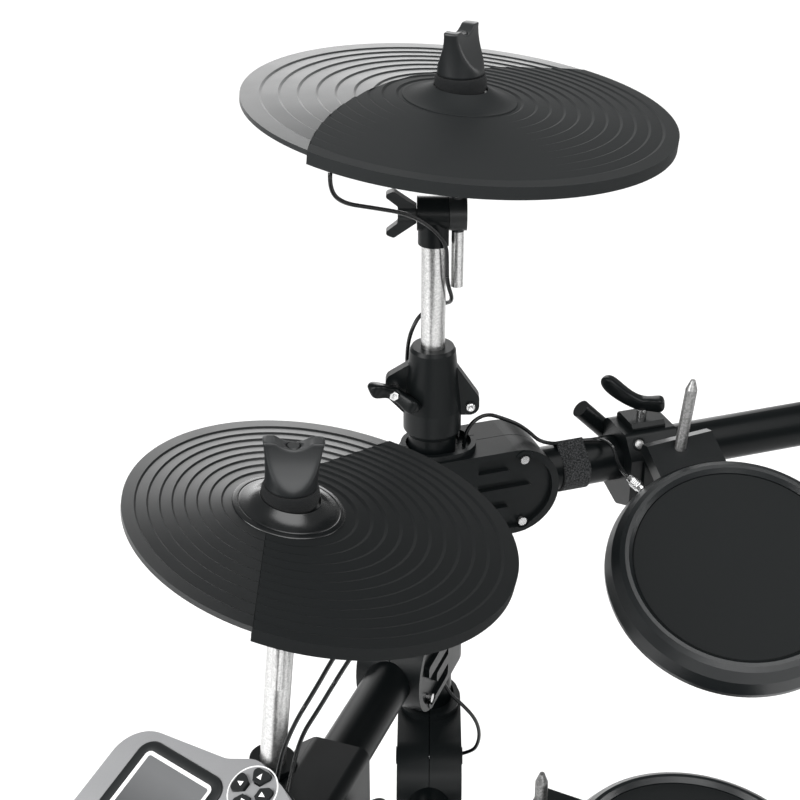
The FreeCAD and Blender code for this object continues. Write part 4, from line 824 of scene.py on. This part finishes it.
@dataclass(frozen=True)
class FeltWashers:
    """A cymbal's two felt washers, rounded at their edges and squeezed between rod, bell and nut."""

    name: str
    rod: Spot
    along: Way
    centre: Spot
    normal: Way
    flange_up: float = 79.5
    top_up: float = 106.4
    bell_rise: float = 13.0
    bell_wall: float = 6.5
    low_r: float = 15.0
    high_r: float = 19.0
    bore: float = 4.9
    gap: float = 0.15
    bulge: float = 1.6
    bulge_power: float = 0.6
    flat_inset: float = 2.2
    flat_rows: int = 4
    side_rows: int = 9
    steps: int = 56

    def washer(self, low_plane: tuple, high_plane: tuple, outer: float, shop: Workshop) -> Array:
        """Return a washer between two planes, each a (point, normal) pair.

        The section is a rounded box: its side bulges as a power of the sine of its height share, and
        each end is the plane's own height over that spot.

        Args:
            low_plane: the plane it stands on.
            high_plane: the plane that presses on it.
            outer: its outer radius in millimetres.
            shop: where its place starts from.

        Returns:
            An array of shape (section rows, segments, 3).
        """
        ends = np.zeros(self.flat_rows)
        share = np.concatenate([ends, np.linspace(0.0, 1.0, self.side_rows), ends + 1.0])
        swell = np.sin(np.linspace(0.0, math.pi, self.side_rows)) ** self.bulge_power
        side = outer - self.bulge + self.bulge * swell
        flat = np.linspace(self.bore, outer - self.flat_inset, self.flat_rows)
        radius = np.concatenate([flat, side, flat[::-1]])
        axis = unit(self.along)
        x_axis = unit(np.cross(axis, CYMBAL_SIDE))
        ring = around(turns(self.steps), x_axis, np.cross(axis, x_axis))
        spots = shop.at(self.rod) + radius[:, None, None] * MM * ring
        low, high = [((point - spots) @ normal) / float(np.dot(axis, normal))
                     for point, normal in (low_plane, high_plane)]
        return spots + (low + (high - low) * share[:, None])[..., None] * axis

    def build(self, shop: Workshop) -> None:
        """Make both washers in place of the CAD felts.

        Args:
            shop: where its place starts from, and the finishes.
        """
        axis = unit(self.along)
        normal = unit(self.normal)
        rod = shop.at(self.rod)
        centre = shop.at(self.centre)
        under = (centre + normal * (self.bell_rise - self.bell_wall - self.gap) * MM, normal)
        over = (centre + normal * (self.bell_rise + self.gap) * MM, normal)
        seat = (rod + axis * (self.flange_up + self.gap) * MM, axis)
        cover = (rod + axis * self.top_up * MM, axis)
        low = self.washer(seat, under, self.low_r, shop)
        high = self.washer(over, cover, self.high_r, shop)
        lower = shop.piece(self.name + "_felt_washers", low, "felt", self.name + "_pad", closed=True)
        shop.piece(self.name + "_felt_upper", high, "felt", self.name + "_pad", closed=True)
        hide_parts(self.name + "_felts")


@dataclass(frozen=True)
class WingNut:
    """A cymbal's tall nut: a round foot, two scooped faces and a shallow notch between its ears."""

    name: str
    rod: Spot
    along: Way
    wing: Way
    foot_up: float = 106.6
    top_up: float = 140.0
    foot_r: float = 17.0
    flare: float = 2.9
    flare_power: float = 2.4
    blade_half: float = 5.4
    scoop_wide: float = 21.2
    notch_half: float = 11.8
    notch_deep: float = 4.6
    bore: float = 4.95
    bore_top: float = 0.95
    edge: float = 0.6
    corner: float = 18.0
    least_sine: float = 0.02
    steps: int = 144
    side_rows: int = 26
    lid_rows: int = 8
    bore_rows: int = 5
    rim_rounds: int = 4

    def reach(self, angle: Array, height: Array) -> Array:
        """Return the distance from the axis at angles and heights.

        It is the smaller of the round body, which flares with a power of the height share, and the
        scooped face, whose half thickness falls with the square of what is left of the height.
        The two join as powers, so that the corner between them is rounded.

        Args:
            angle: angles round the axis.
            height: heights above the foot in millimetres.

        Returns:
            Distances in millimetres.
        """
        share = np.clip(height / (self.top_up - self.foot_up), 0.0, 1.0)
        body = self.foot_r + self.flare * share ** self.flare_power
        half = self.blade_half + (self.scoop_wide - self.blade_half) * (1.0 - share) ** 2
        face = half / np.maximum(np.abs(np.sin(angle)), self.least_sine)
        return (body ** -self.corner + face ** -self.corner) ** (-1.0 / self.corner)

    def top(self, x: Array) -> Array:
        """Return the height of the top, which the notch lowers as a parabola along the blade."""
        tall = self.top_up - self.foot_up
        return tall - self.notch_deep * np.clip(1.0 - (x / self.notch_half) ** 2, 0.0, 1.0)

    def surface(self) -> tuple[Array, Array, Array]:
        """Return the nut's grid as angles, distances and heights: foot, side, top and bore in turn.

        Returns:
            Angles of shape (steps,), and distances and heights of shape (rows, steps) in millimetres.
        """
        angle = turns(self.steps)
        rim = np.full_like(angle, self.top_up - self.foot_up)
        for _ in range(self.rim_rounds):
            rim = self.top(self.reach(angle, rim) * np.cos(angle))
        share = np.linspace(0.0, 1.0, self.side_rows)[:, None]
        side_height = self.edge + share * (rim - 2 * self.edge)
        side = self.reach(angle, side_height)
        inward = np.linspace(0.0, 1.0, self.lid_rows)[:, None]
        lid = (side[-1] - self.edge) * (1.0 - inward) + self.bore * inward
        lid_height = self.top(lid * np.cos(angle))
        bore_height = np.linspace(self.bore_top, 0.0, self.bore_rows)[:, None] * lid_height[-1]
        foot = self.reach(angle, np.zeros_like(angle)) - self.edge
        distance = np.vstack([foot, side, lid, np.full_like(bore_height, self.bore)])
        height = np.vstack([np.zeros_like(angle), side_height, lid_height, bore_height])
        return angle, distance, height

    def build(self, shop: Workshop) -> None:
        """Make the nut in place of the CAD nut.

        Args:
            shop: where its place starts from, and the finishes.
        """
        axis = unit(self.along)
        across = unit(np.cross(axis, self.wing))
        angle, distance, height = self.surface()
        ring = around(angle, np.cross(across, axis), across)
        foot = shop.at(self.rod) + axis * self.foot_up * MM
        points = foot + distance[..., None] * MM * ring + height[..., None] * MM * axis
        piece = shop.piece(self.name + "_tall_nut", points, "nut_plastic", self.name + "_nut", closed=True)
        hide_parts(self.name + "_wing_nut")


class BellKind(Enum):
    """How a bell meets the bow: with a soft sweep, or with a stepped ring round its foot."""

    SWEPT = "swept"
    RINGED = "ringed"


@dataclass(frozen=True)
class BellCover:
    """The hollow-sided moulding over a pad's bell, up to a lip round the felt.

    Outlines are (distance, height) rows in millimetres.
    """

    name: str
    centre: Spot
    normal: Way
    kind: BellKind
    lip_r: float = 20.4
    lip_up: float = 15.0
    swept_foot: tuple = ((42.1, 6.5),)
    swept_start: tuple = (42.0, 6.95)
    sweep_power: float = 1.8
    ringed_foot: tuple = ((37.0, 6.6), (37.1, 7.6), (36.8, 8.0), (36.2, 8.2), (33.7, 8.8), (33.3, 8.78),
                          (33.1, 8.55), (32.8, 8.62))
    ringed_start: tuple = (32.5, 8.9)
    inside: tuple = ((20.1, 15.25), (19.8, 15.15), (19.4, 14.7), (19.4, 12.7), (34.0, 6.7))
    flank_rows: int = 22

    def profile(self) -> Array:
        """Return the closed section, outside first.

        A swept flank rises as a power of the share of its width; a ringed one is a straight line with
        a half sine of one millimetre taken off it, above a flat ring with a groove.

        Returns:
            (distance, height) rows in millimetres.
        """
        share = np.linspace(0.0, 1.0, self.flank_rows)
        if self.kind is BellKind.SWEPT:
            foot, start = self.swept_foot, self.swept_start
            rise = (self.lip_up - start[1]) * share ** self.sweep_power
        else:
            foot, start = self.ringed_foot, self.ringed_start
            rise = (self.lip_up - start[1]) * share - np.sin(math.pi * share)
        flank = np.stack([start[0] + (self.lip_r - start[0]) * share, start[1] + rise], axis=1)
        return np.vstack([foot, flank, self.inside])

    def build(self, shop: Workshop) -> None:
        """Make the cover on its pad.

        Args:
            shop: where its place starts from, and the finishes.
        """
        axis = unit(self.normal)
        side = np.cross(axis, CYMBAL_SIDE)
        surface = carried(self.profile() * MM, shop.at(self.centre), side, axis, segments=96)
        slot, finish = ("pad_rubber", "") if self.kind is BellKind.SWEPT else ("plate_plastic", "bell_gloss")
        shop.piece(self.name + "_bell_cover", surface, slot, self.name + "_pad", closed=True, finish=finish)


@dataclass(frozen=True)
class CableStraps:
    """Hook-and-loop straps round the crossbar, each a wound band with its loose end lapped over."""

    spots: tuple = ((121.0, 0.0, 745.0), (569.0, 0.0, 745.0))
    tube_r: float = 19.15
    clear: float = 0.05
    cable_r: float = 2.65
    lift: float = 21.6
    hump_turn: float = 0.2
    width: float = 23.6
    thick: float = 1.5
    lap_gap: float = 0.15
    wound: tuple = (-200.0, 260.0)
    lap_from: float = 150.0
    lap_ease: float = 4.0
    steps: int = 180
    threads: int = 13

    def section(self, over_cable: bool) -> Array:
        """Return the wound line of the band in the bar's cross-section, in millimetres.

        Its distance from the bar's axis is the bar's own, plus a bell curve over the cable that lies
        on the bar's top; after an eased step, the last third of a turn lies one thickness further out.

        Args:
            over_cable: whether a cable lies under the band.

        Returns:
            Points as (sideways, up) rows.
        """
        angle = np.radians(np.linspace(*self.wound, self.steps))
        off_top = np.angle(np.exp(1j * (angle - math.pi / 2)))
        height = self.lift + self.cable_r - self.tube_r if over_cable else 0.0
        hump = height * np.exp(-(off_top / self.hump_turn) ** 2)
        lap = 1.0 / (1.0 + np.exp(-(np.degrees(angle) - self.lap_from) / self.lap_ease))
        radius = self.tube_r + self.clear + hump + self.thick * lap
        return np.stack([np.cos(angle) * radius, np.sin(angle) * radius], axis=1)

    def build(self, shop: Workshop) -> None:
        """Make the straps in place of the CAD bands.

        Args:
            shop: where its place starts from, and the finishes.
        """
        for count, spot in enumerate(self.spots):
            line = self.section(count == 0)
            step = np.linalg.norm(np.diff(line, axis=0), axis=1)
            length = float(step.sum())
            across = np.linspace(-self.width / 2, self.width / 2, self.threads)
            points = np.zeros((len(line), len(across), 3))
            points[..., 0] = across
            points[..., 1:] = line[:, None, :]
            piece = grid_object("crossbar_strap_%d" % (count + 1), shop.at(spot) + points * MM, False, False)
            run = np.concatenate([[0.0], np.cumsum(step)]) / length
            self.unroll(piece.data, run)
            thicken = piece.modifiers.new("thickness", "SOLIDIFY")
            thicken.thickness = (self.thick - self.lap_gap) * MM
            thicken.offset = 1.0
            shop.dress(piece, "strap_cloth")
            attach(piece, "rack")
            if count == 0:
                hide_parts("cable_straps")

    def unroll(self, mesh: bpy.types.Mesh, run: Array) -> None:
        """Give a strap's mesh its flat map from the shares of its length at each row.

        Args:
            mesh: the strap's mesh.
            run: the share of the length at each row.
        """
        layer = mesh.uv_layers.new(name="strap")
        grid = np.stack(np.meshgrid(run, np.linspace(0.0, 1.0, self.threads), indexing="ij"), axis=-1)
        corners = np.zeros(len(mesh.loops), dtype=np.int32)
        mesh.loops.foreach_get("vertex_index", corners)
        layer.data.foreach_set("uv", grid.reshape(-1, 2)[corners].ravel())


@dataclass(frozen=True)
class CollarScrews:
    """Plated nuts on the wing bolts' hubs and round caps on the ear bolts of both post collars.

    Outlines are (radius, height) rows in millimetres.
    """

    hub_at: Spot = (-34.36, -7.84, 841.0)
    ear_at: Spot = (26.95, -13.93, 824.0)
    toward: Way = (-0.3223, -0.9466, 0.0)
    post_gap: float = 690.0
    nut: tuple = ((0.0, -1.0), (3.9, -1.0), (4.0, 0.0), (4.0, 1.9), (3.5, 2.4), (2.3, 2.4), (2.2, 3.3),
                  (0.0, 3.5))
    nut_sides: int = 6
    cap: tuple = ((0.0, -9.0), (2.6, -9.0), (2.6, -0.1), (3.75, 0.0), (3.75, 2.6), (3.2, 3.3), (1.9, 3.5),
                  (1.7, 2.4), (0.0, 2.4))
    cap_sides: int = 28

    def build(self, shop: Workshop) -> None:
        """Make the screws on the left collar and their mirrored twins on the right one.

        Args:
            shop: where its place starts from, and the finishes.
        """
        kinds = (("hub_nut", self.hub_at, self.nut, self.nut_sides),
                 ("ear_cap", self.ear_at, self.cap, self.cap_sides))
        for side, start, flip in (("left", 0.0, 1.0), ("right", self.post_gap, -1.0)):
            mirror = np.array((flip, 1.0, 1.0))
            for name, spot, rows, sides in kinds:
                place = shop.at(np.array(spot) * mirror + (start, 0.0, 0.0))
                surface = carried(np.array(rows) * MM, place, UPRIGHT, self.toward * mirror, sides)
                shop.piece("%s_collar_%s" % (side, name), surface, "bolt_steel", "rack",
                           smooth=sides > self.nut_sides)


@dataclass(frozen=True)
class ClampScrew:
    """A domed screw in a dark ring on the sloped front of a pad's clamp.

    Outlines are (radius, height) rows in millimetres.
    """

    name: str
    foot: Spot
    axis: Way
    dome: tuple = ((0.0, -1.2), (4.2, -1.2), (4.2, 0.9), (3.4, 1.5), (2.31, 1.9), (0.0, 2.1))
    ring: tuple = ((4.4, -1.2), (5.6, -1.2), (5.6, 0.8), (5.1, 1.2), (4.4, 1.2))
    sides: int = 36

    def surface(self, rows: tuple, shop: Workshop) -> Array:
        """Return an outline turned about the screw's axis."""
        return carried(np.array(rows) * MM, shop.at(self.foot), SCREW_SIDE, self.axis, self.sides)

    def build(self, shop: Workshop) -> None:
        """Make the screw and its ring.

        Args:
            shop: where its place starts from, and the finishes.
        """
        name = self.name + "_clamp_screw"
        shop.piece(name, self.surface(self.dome, shop), "stand_steel", "rack", finish="pad_rod_zinc")
        shop.piece(name + "_ring", self.surface(self.ring, shop), "clamp_plastic", "rack", closed=True)


@dataclass(frozen=True)
class WingSeat:
    """Where a wing bolt sits: its foot, its ears' direction, its axis and its turn about that axis.

    The ear that points along the ears' direction is far_span times as long and rises far_rise times as
    much as the other one.
    """

    name: str
    foot: Spot
    ears: Way
    axis: Way
    turn: float = 0.0
    span: float = 26.0
    lift: float = 1.2
    shank: float = 6.0
    rise: float = 12.5
    far_span: float = 1.0
    far_rise: float = 1.0


@dataclass(frozen=True)
class WingPaddle:
    """A clamp's wing bolt: a smooth paddle with two raised ears on a plated stud."""

    seat: WingSeat
    middle: float = 8.2
    bend: float = 1.55
    thick: float = 6.0
    hub: float = 6.6
    hub_share: float = 0.26
    waist: float = 4.6
    tip: float = 8.0
    tip_power: float = 9.0
    grow: float = 1.2
    taper: float = 0.32
    square: float = 0.55
    shank_r: float = 2.55
    stud_r: float = 4.2
    stud_sunk: float = 1.5
    sections: int = 73
    steps: int = 48

    def surface(self) -> tuple[Array, Array, Array]:
        """Return the paddle as distances along the ears, sideways and up the axis, in millimetres.

        The middle line rises with the power bend of the share of the span. Each section is a rounded
        oval square to that line; it narrows beside the hub, widens to the ear and closes at the tip.

        Returns:
            Three arrays of shape (sections, steps round).
        """
        share = np.sin(np.linspace(-math.pi / 2, math.pi / 2, self.sections))[:, None]
        along = np.abs(share)
        far = share > 0.0
        line_x = self.seat.span * share * np.where(far, self.seat.far_span, 1.0)
        line_z = self.seat.rise * along ** self.bend * np.where(far, self.seat.far_rise, 1.0)
        slope = np.gradient(line_z[:, 0])[:, None] / np.gradient(line_x[:, 0])[:, None]
        length = np.sqrt(1.0 + slope ** 2)
        close = np.sqrt(np.clip(1.0 - along ** self.tip_power, 0.0, 1.0))
        swell = along ** 2 * (3.0 - 2.0 * along)
        half = self.waist + (self.hub - self.waist) * np.exp(-(along / self.hub_share) ** 2)
        half = half + (self.tip - self.waist) * swell
        angle = turns(self.steps)
        high = np.sign(np.cos(angle)) * np.abs(np.cos(angle)) ** self.square
        wide = -np.sign(np.sin(angle)) * np.abs(np.sin(angle)) ** self.square
        over = high * (self.thick + self.grow * swell) * close
        side = wide * half * close * (1.0 - self.taper + self.taper * high)
        x = line_x - over * slope / length
        z = self.seat.lift + self.middle + line_z + over / length
        return x, side, z

    def build(self, shop: Workshop) -> bpy.types.Object:
        """Make the paddle and its stud.

        Args:
            shop: where its place starts from, and the finishes.

        Returns:
            The paddle.
        """
        axis = np.array(self.seat.axis)
        first = np.array(self.seat.ears)
        turn = math.radians(self.seat.turn)
        ears = math.cos(turn) * first + math.sin(turn) * np.cross(axis, first)
        foot = shop.at(self.seat.foot)
        x, side, z = self.surface()
        points = x[..., None] * ears + side[..., None] * np.cross(axis, ears) + z[..., None] * axis
        paddle = shop.piece(self.seat.name + "_wing", foot + MM * points, "clamp_plastic", "rack")
        top = self.seat.lift + self.middle - self.thick + self.stud_sunk
        rows = np.array([(0.0, -self.seat.shank), (self.shank_r, -self.seat.shank), (self.shank_r, 0.0),
                         (self.stud_r, 0.0), (self.stud_r, top), (0.0, top)])
        surface = carried(rows * MM, foot, ears, axis, segments=32)
        shop.piece(self.seat.name + "_wing_stud", surface, "bolt_steel", "rack", smooth=False)
        return paddle


@dataclass(frozen=True)
class ModuleFace:
    """Trim on the sound module's face: panel bezel and sloped edge, button arrows and a line round them. The
    sloped edge and the line are painted pale as painted highlights, for the glints along the bevel of the
    panel's recess and along the buttons' rim.

    Sizes are in millimetres, and the bezel's and the edge's outlines are (growth, height) rows.
    """

    centre: Spot = (-270.81, -317.01, 725.26)
    right: Way = (0.5299, -0.848, 0.0)
    up: Way = (0.7556, 0.4722, 0.454)
    normal: Way = (-0.385, -0.2406, 0.891)
    panel_at: tuple = (-39.0, 13.0)
    panel_size: tuple = (58.0, 46.0)
    panel_corner: float = 4.0
    panel_steps: int = 96
    bezel: tuple = ((7.6, -0.6), (7.4, 0.7), (6.6, 1.2), (0.5, 1.2), (0.0, 0.9), (0.0, -0.6))
    edge: tuple = ((-2.4, 0.15), (-2.4, -0.2), (0.2, -0.2))
    edge_out: float = 0.2
    edge_over_face: float = 0.7
    edge_least: float = 0.6
    cluster_at: tuple = (14.0, 47.0)
    line_r: float = 16.6
    line_up: float = 0.05
    line_half: tuple = (0.45, 0.35)
    line_steps: tuple = (8, 72)
    arrow_out: float = 9.3
    arrow_size: float = 2.3
    arrow_corners: tuple = (0.0, 2.3, -2.3)
    arrow_heights: tuple = (-0.3, 0.08)

    def spots(self, shop: Workshop, x: Array, y: Array, z: Array) -> Array:
        """Return points given in millimetres across, up and out of the face."""
        local = x[..., None] * np.array(self.right) + y[..., None] * np.array(self.up)
        return shop.at(self.centre) + (local + z[..., None] * np.array(self.normal)) * MM

    def height_of(self, node: bpy.types.Object, shop: Workshop) -> float:
        """Return how far a CAD node stands out of the module's middle, in millimetres.

        Args:
            node: the node's object.
            shop: where the module's place starts from.

        Returns:
            The distance.
        """
        points = np.zeros(len(node.data.vertices) * 3)
        node.data.vertices.foreach_get("co", points)
        return float(((points.reshape(-1, 3) - shop.at(self.centre)) @ np.array(self.normal)).max() / MM)

    def frame_ring(self, shop: Workshop, rows: tuple, base: float) -> Array:
        """Return a ring round the panel.

        The outline at angle a is a corner's centre plus its radius times (cos a, sin a); each section
        row grows the outline outward and lifts it.

        Args:
            shop: where the module's place starts from.
            rows: (growth, height) rows in millimetres.
            base: the height that the section stands on.

        Returns:
            An array of shape (rows, panel steps, 3).
        """
        section = np.array(rows)
        angle = turns(self.panel_steps) + math.pi / self.panel_steps
        half = np.array(self.panel_size) / 2 - self.panel_corner
        radius = self.panel_corner + section[:, 0, None]
        x = self.panel_at[0] + np.sign(np.cos(angle)) * half[0] + radius * np.cos(angle)
        y = self.panel_at[1] + np.sign(np.sin(angle)) * half[1] + radius * np.sin(angle)
        z = np.broadcast_to(base + section[:, 1, None], x.shape)
        return self.spots(shop, x, y, z)

    def arrow(self, shop: Workshop, turn: float, top: float) -> Array:
        """Return a thin three-cornered mark that points outward: two rings of three points.

        Args:
            shop: where the module's place starts from.
            turn: the outward angle in radians.
            top: the button's height.

        Returns:
            An array of shape (2, 3, 3).
        """
        corner = turn + np.array(self.arrow_corners)
        x = self.cluster_at[0] + self.arrow_out * math.cos(turn) + self.arrow_size * np.cos(corner)
        y = self.cluster_at[1] + self.arrow_out * math.sin(turn) + self.arrow_size * np.sin(corner)
        z = top + np.array(self.arrow_heights)
        return self.spots(shop, *np.broadcast_arrays(x, y, z[:, None]))

    def button_line(self, shop: Workshop, face: float) -> Array:
        """Return the raised line round the buttons: an oval section turned about their middle.

        Args:
            shop: where the module's place starts from.
            face: the height of the module's front.

        Returns:
            An array of shape (section steps, steps round, 3).
        """
        section, sides = self.line_steps
        oval = turns(section)
        line = np.stack([self.line_r + self.line_half[0] * np.cos(oval),
                         face + self.line_up + self.line_half[1] * np.sin(oval)], axis=1)
        x, y = np.array(self.cluster_at)
        return carried(line * MM, self.spots(shop, x, y, np.array(0.0)), self.right, self.normal, sides)

    def build(self, nodes: dict, shop: Workshop) -> None:
        """Make the trim pieces.

        Args:
            nodes: CAD objects by name.
            shop: where the module's place starts from, and the finishes.
        """
        face = self.height_of(nodes["module_front"], shop)
        panel = self.height_of(nodes["module_screen"], shop)
        bezel = self.frame_ring(shop, self.bezel, face)
        shop.piece("panel_bezel", bezel, "module_black", "module", closed=True)
        edge_top = (self.edge_out, max(face + self.edge_over_face - panel, self.edge_least))
        edge = self.frame_ring(shop, (edge_top, *self.edge), panel)
        # Painted highlight: the sloped edge is painted pale for the glint along the bevel of the panel's
        # recess.
        shop.piece("panel_edge", edge, "module_silver", "module", closed=True, smooth=False,
                   finish="panel_edge_painted_highlight")
        # Painted highlight: the raised line round the buttons is painted pale for the glint along their rim;
        # the arrows' pale ink is print.
        shop.piece("button_line", self.button_line(shop, face), "module_silver", "module", closed=True,
                   finish="mark_ink")
        for step, side in enumerate(("right", "up", "left", "down")):
            top = self.height_of(nodes["module_button_" + side], shop)
            shop.piece("button_mark_" + side, self.arrow(shop, step * math.pi / 2, top), "button_rubber",
                       "button_" + side, smooth=False, capped=True, finish="mark_ink")


@dataclass(frozen=True)
class LightBox:
    """A square soft light: its place and target in metres, its width and its power in watts."""

    name: str
    place: Spot
    target: Spot
    size: float
    power: float

    def build(self, scene: bpy.types.Scene) -> None:
        """Put the light at its place and point it at its target.

        Args:
            scene: the scene that it lights.
        """
        data = bpy.data.lights.new(self.name, "AREA")
        data.energy = self.power
        data.size = self.size
        lamp = bpy.data.objects.new(self.name, data)
        lamp.visible_camera = False
        scene.collection.objects.link(lamp)
        lamp.location = self.place
        lamp.rotation_euler = (Vector(self.target) - Vector(self.place)).to_track_quat("-Z", "Y").to_euler()


@dataclass(frozen=True)
class Studio:
    """Pale floor, soft light boxes and the camera at the photograph's angle."""

    camera_spot: Spot = (-395.4, -1082.1, 1439.5)
    heading: float = 18.8
    pitch: float = 28.0
    lens: float = 74.25
    sensor: float = 36.0
    sight: float = 60.0
    surround: float = 0.32
    floor_x: tuple = (-22.0, 22.0, 45)
    floor_y: tuple = (-14.0, 26.0, 81)
    paper: tuple = ((0.93, 0.93, 0.93), (0.96, 0.96, 0.96))
    paper_grain: float = 40.0
    paper_roughness: float = 0.9
    lights: tuple = (
        LightBox("top_box", (0.1, -1.6, 4.0), (0.2, 1.6, 0.0), 4.0, 220.0),
        LightBox("back_box", (1.2, 7.0, 2.4), (0.4, 1.5, 0.4), 5.0, 240.0),
        LightBox("left_box", (-2.8, -0.5, 1.9), (-0.3, -0.1, 0.8), 1.6, 85.0),
        LightBox("front_box", (-0.9, -4.2, 1.9), (-0.2, 0.0, 0.85), 1.4, 38.0),
        LightBox("right_box", (2.6, -1.0, 1.5), (-0.2, 0.0, 0.75), 1.2, 26.0),
    )

    def build(self, shop: Workshop) -> None:
        """Make the floor, surround, lights and camera.

        Args:
            shop: where the camera's place starts from.
        """
        scene = bpy.context.scene
        scene.view_settings.view_transform = "Standard"
        self.floor()
        self.world(scene)
        for light in self.lights:
            light.build(scene)
        data = bpy.data.cameras.new("photo_camera")
        data.lens = self.lens
        data.sensor_width = self.sensor
        data.clip_end = self.sight
        camera = bpy.data.objects.new("photo_camera", data)
        scene.collection.objects.link(camera)
        camera.location = shop.at(self.camera_spot)
        camera.rotation_euler = (math.radians(90.0 - self.pitch), 0.0, math.radians(-self.heading))
        scene.camera = camera
        LOG.info("studio ready")

    def floor(self) -> None:
        """Make a wide flat paper floor on a grid."""
        x, y = np.meshgrid(np.linspace(*self.floor_x), np.linspace(*self.floor_y), indexing="ij")
        made = grid_object("studio_floor", np.stack([x, y, np.zeros_like(x)], axis=-1), False, False)
        graph = Graph("floor_paper")
        made.data.materials.append(graph.set(Base_Color=graph.mix(graph.noise(self.paper_grain), *self.paper),
                                             Roughness=self.paper_roughness))

    def world(self, scene: bpy.types.Scene) -> None:
        """Set an even white surround.

        Args:
            scene: the scene that it surrounds.
        """
        world = bpy.data.worlds.new("white_room")
        world.use_nodes = True
        back = world.node_tree.nodes["Background"]
        back.inputs["Color"].default_value = (1.0, 1.0, 1.0, 1.0)
        back.inputs["Strength"].default_value = self.surround
        scene.world = world


FELTS = (
    FeltWashers("crash", (16.85, -5.74, 985.0), UPRIGHT, (16.05, -5.46, 1067.04), (0.0825, -0.0281, 0.9962)),
    FeltWashers("ride", (673.15, -5.74, 985.0), UPRIGHT, (673.95, -5.46, 1067.04),
                (-0.0825, -0.0281, 0.9962)),
    FeltWashers("hihat", (-178.17, -198.71, 792.6), (0.074, -0.061, 0.9954), (-173.24, -203.67, 874.38),
                (0.1904, -0.0648, 0.9796)),
)
NUT_WINGS = ((0.711, 0.703, 0.0), (0.518, 0.855, 0.0), (0.977, -0.214, -0.086))
NUTS = tuple(WingNut(felts.name, felts.rod, felts.along, wing) for felts, wing in zip(FELTS, NUT_WINGS))
BELL_KINDS = (BellKind.SWEPT, BellKind.SWEPT, BellKind.RINGED)
BELLS = tuple(BellCover(felts.name, felts.centre, felts.normal, kind)
              for felts, kind in zip(FELTS, BELL_KINDS))
CLAMP_SCREWS = (
    ClampScrew("snare", (-43.77, -194.64, 519.3), (0.7315, -0.2619, 0.629)),
    ClampScrew("tom_1", (173.0, -24.4, 768.3), (0.0, -0.777, 0.629)),
    ClampScrew("tom_2", (517.0, -24.4, 768.3), (0.0, -0.777, 0.629)),
    ClampScrew("floor_tom", (834.64, -213.83, 643.3), (-0.5996, -0.4942, 0.629)),
)
TOM_WING = WingSeat("tom_1_clamp", (186.0, 0.0, 781.0), (1.0, 0.0, 0.0), UPRIGHT, turn=-30.0, span=34.0,
                    lift=2.6, rise=21.0, far_span=0.55, far_rise=0.04)
COLLAR_WING = WingSeat("left_collar", (-29.85, 5.41, 841.0), (0.9466, -0.3223, 0.0), (-0.3223, -0.9466, 0.0),
                       turn=-27.0, span=21.0, lift=0.0, shank=9.0)
WINGS = (
    TOM_WING,
    replace(TOM_WING, name="tom_2_clamp", foot=(504.0, 0.0, 781.0), ears=(-1.0, 0.0, 0.0), turn=30.0),
    WingSeat("snare_clamp", (-71.13, -198.65, 532.0), (-0.3371, -0.9415, 0.0), UPRIGHT),
    WingSeat("floor_tom_clamp", (861.74, -208.34, 656.0), (0.6361, -0.7716, 0.0), UPRIGHT),
    WingSeat("hihat_clamp", (-136.64, -211.35, 620.0), (-0.6361, -0.7716, 0.0), (0.7716, -0.6361, 0.0),
             span=20.0, lift=0.0),
    COLLAR_WING,
    replace(COLLAR_WING, name="right_collar", foot=(719.85, 5.41, 841.0), ears=(-0.9466, -0.3223, 0.0),
            axis=(0.3223, -0.9466, 0.0), turn=27.0),
)
NODE_FINISHES = {
    "hihat_plate": "hihat_plate_painted_shade",
    "hihat_rubber": "hihat_rubber_painted_shade",
    "snare_rod": "pad_rod_zinc",
    "tom_1_rod": "pad_rod_zinc",
    "tom_2_rod": "pad_rod_zinc",
    "floor_tom_rod": "pad_rod_zinc",
}


def dress_nodes(frame: dict, shop: Workshop, face: ModuleFace) -> None:
    """Make the finishes and give each CAD node its slot's own, or the one that is named for it.

    Args:
        shop: where places start from, and what takes the finishes.
        face: the module's face, for the panel's place.
    """
    for name, finish in {**SLOT_FINISHES, **OWN_FINISHES}.items():
        shop.finishes[name] = finish.material(name)
    shop.finishes["screen"] = Display().material("screen_panel", shop.at(face.centre), face.up)
    for part in frame["record"]["subparts"]:
        finish = NODE_FINISHES.get(part["node"], part["material_slot"])
        node = frame["nodes"][part["node"]]
        node.data.materials.clear()
        node.data.materials.append(shop.finishes[finish])
    for felts in FELTS:
        rod = TilterParts().material(felts.name + "_tilter", shop.at(felts.rod), unit(felts.along))
        frame["nodes"][felts.name + "_tilter_head"].data.materials[0] = rod


def main() -> None:
    """Build the dressed kit."""
    logging.basicConfig(level=logging.INFO, format="%(name)s %(message)s")
    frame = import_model()
    foot = next(mount for mount in frame["record"]["mounts"] if mount["name"] == "left_front_foot")
    shop = Workshop(np.array(foot["pos_m"]))
    face = ModuleFace()
    dress_nodes(frame, shop, face)
    Studio().build(shop)
    face.build(frame["nodes"], shop)
    for piece in (CableSet(), *FELTS, *NUTS, *BELLS, *CLAMP_SCREWS, CableStraps(), CollarScrews()):
        piece.build(shop)
    wings = [WingPaddle(seat).build(shop) for seat in WINGS]
    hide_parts("wing_bolts")


if __name__ == "__main__":
    main()
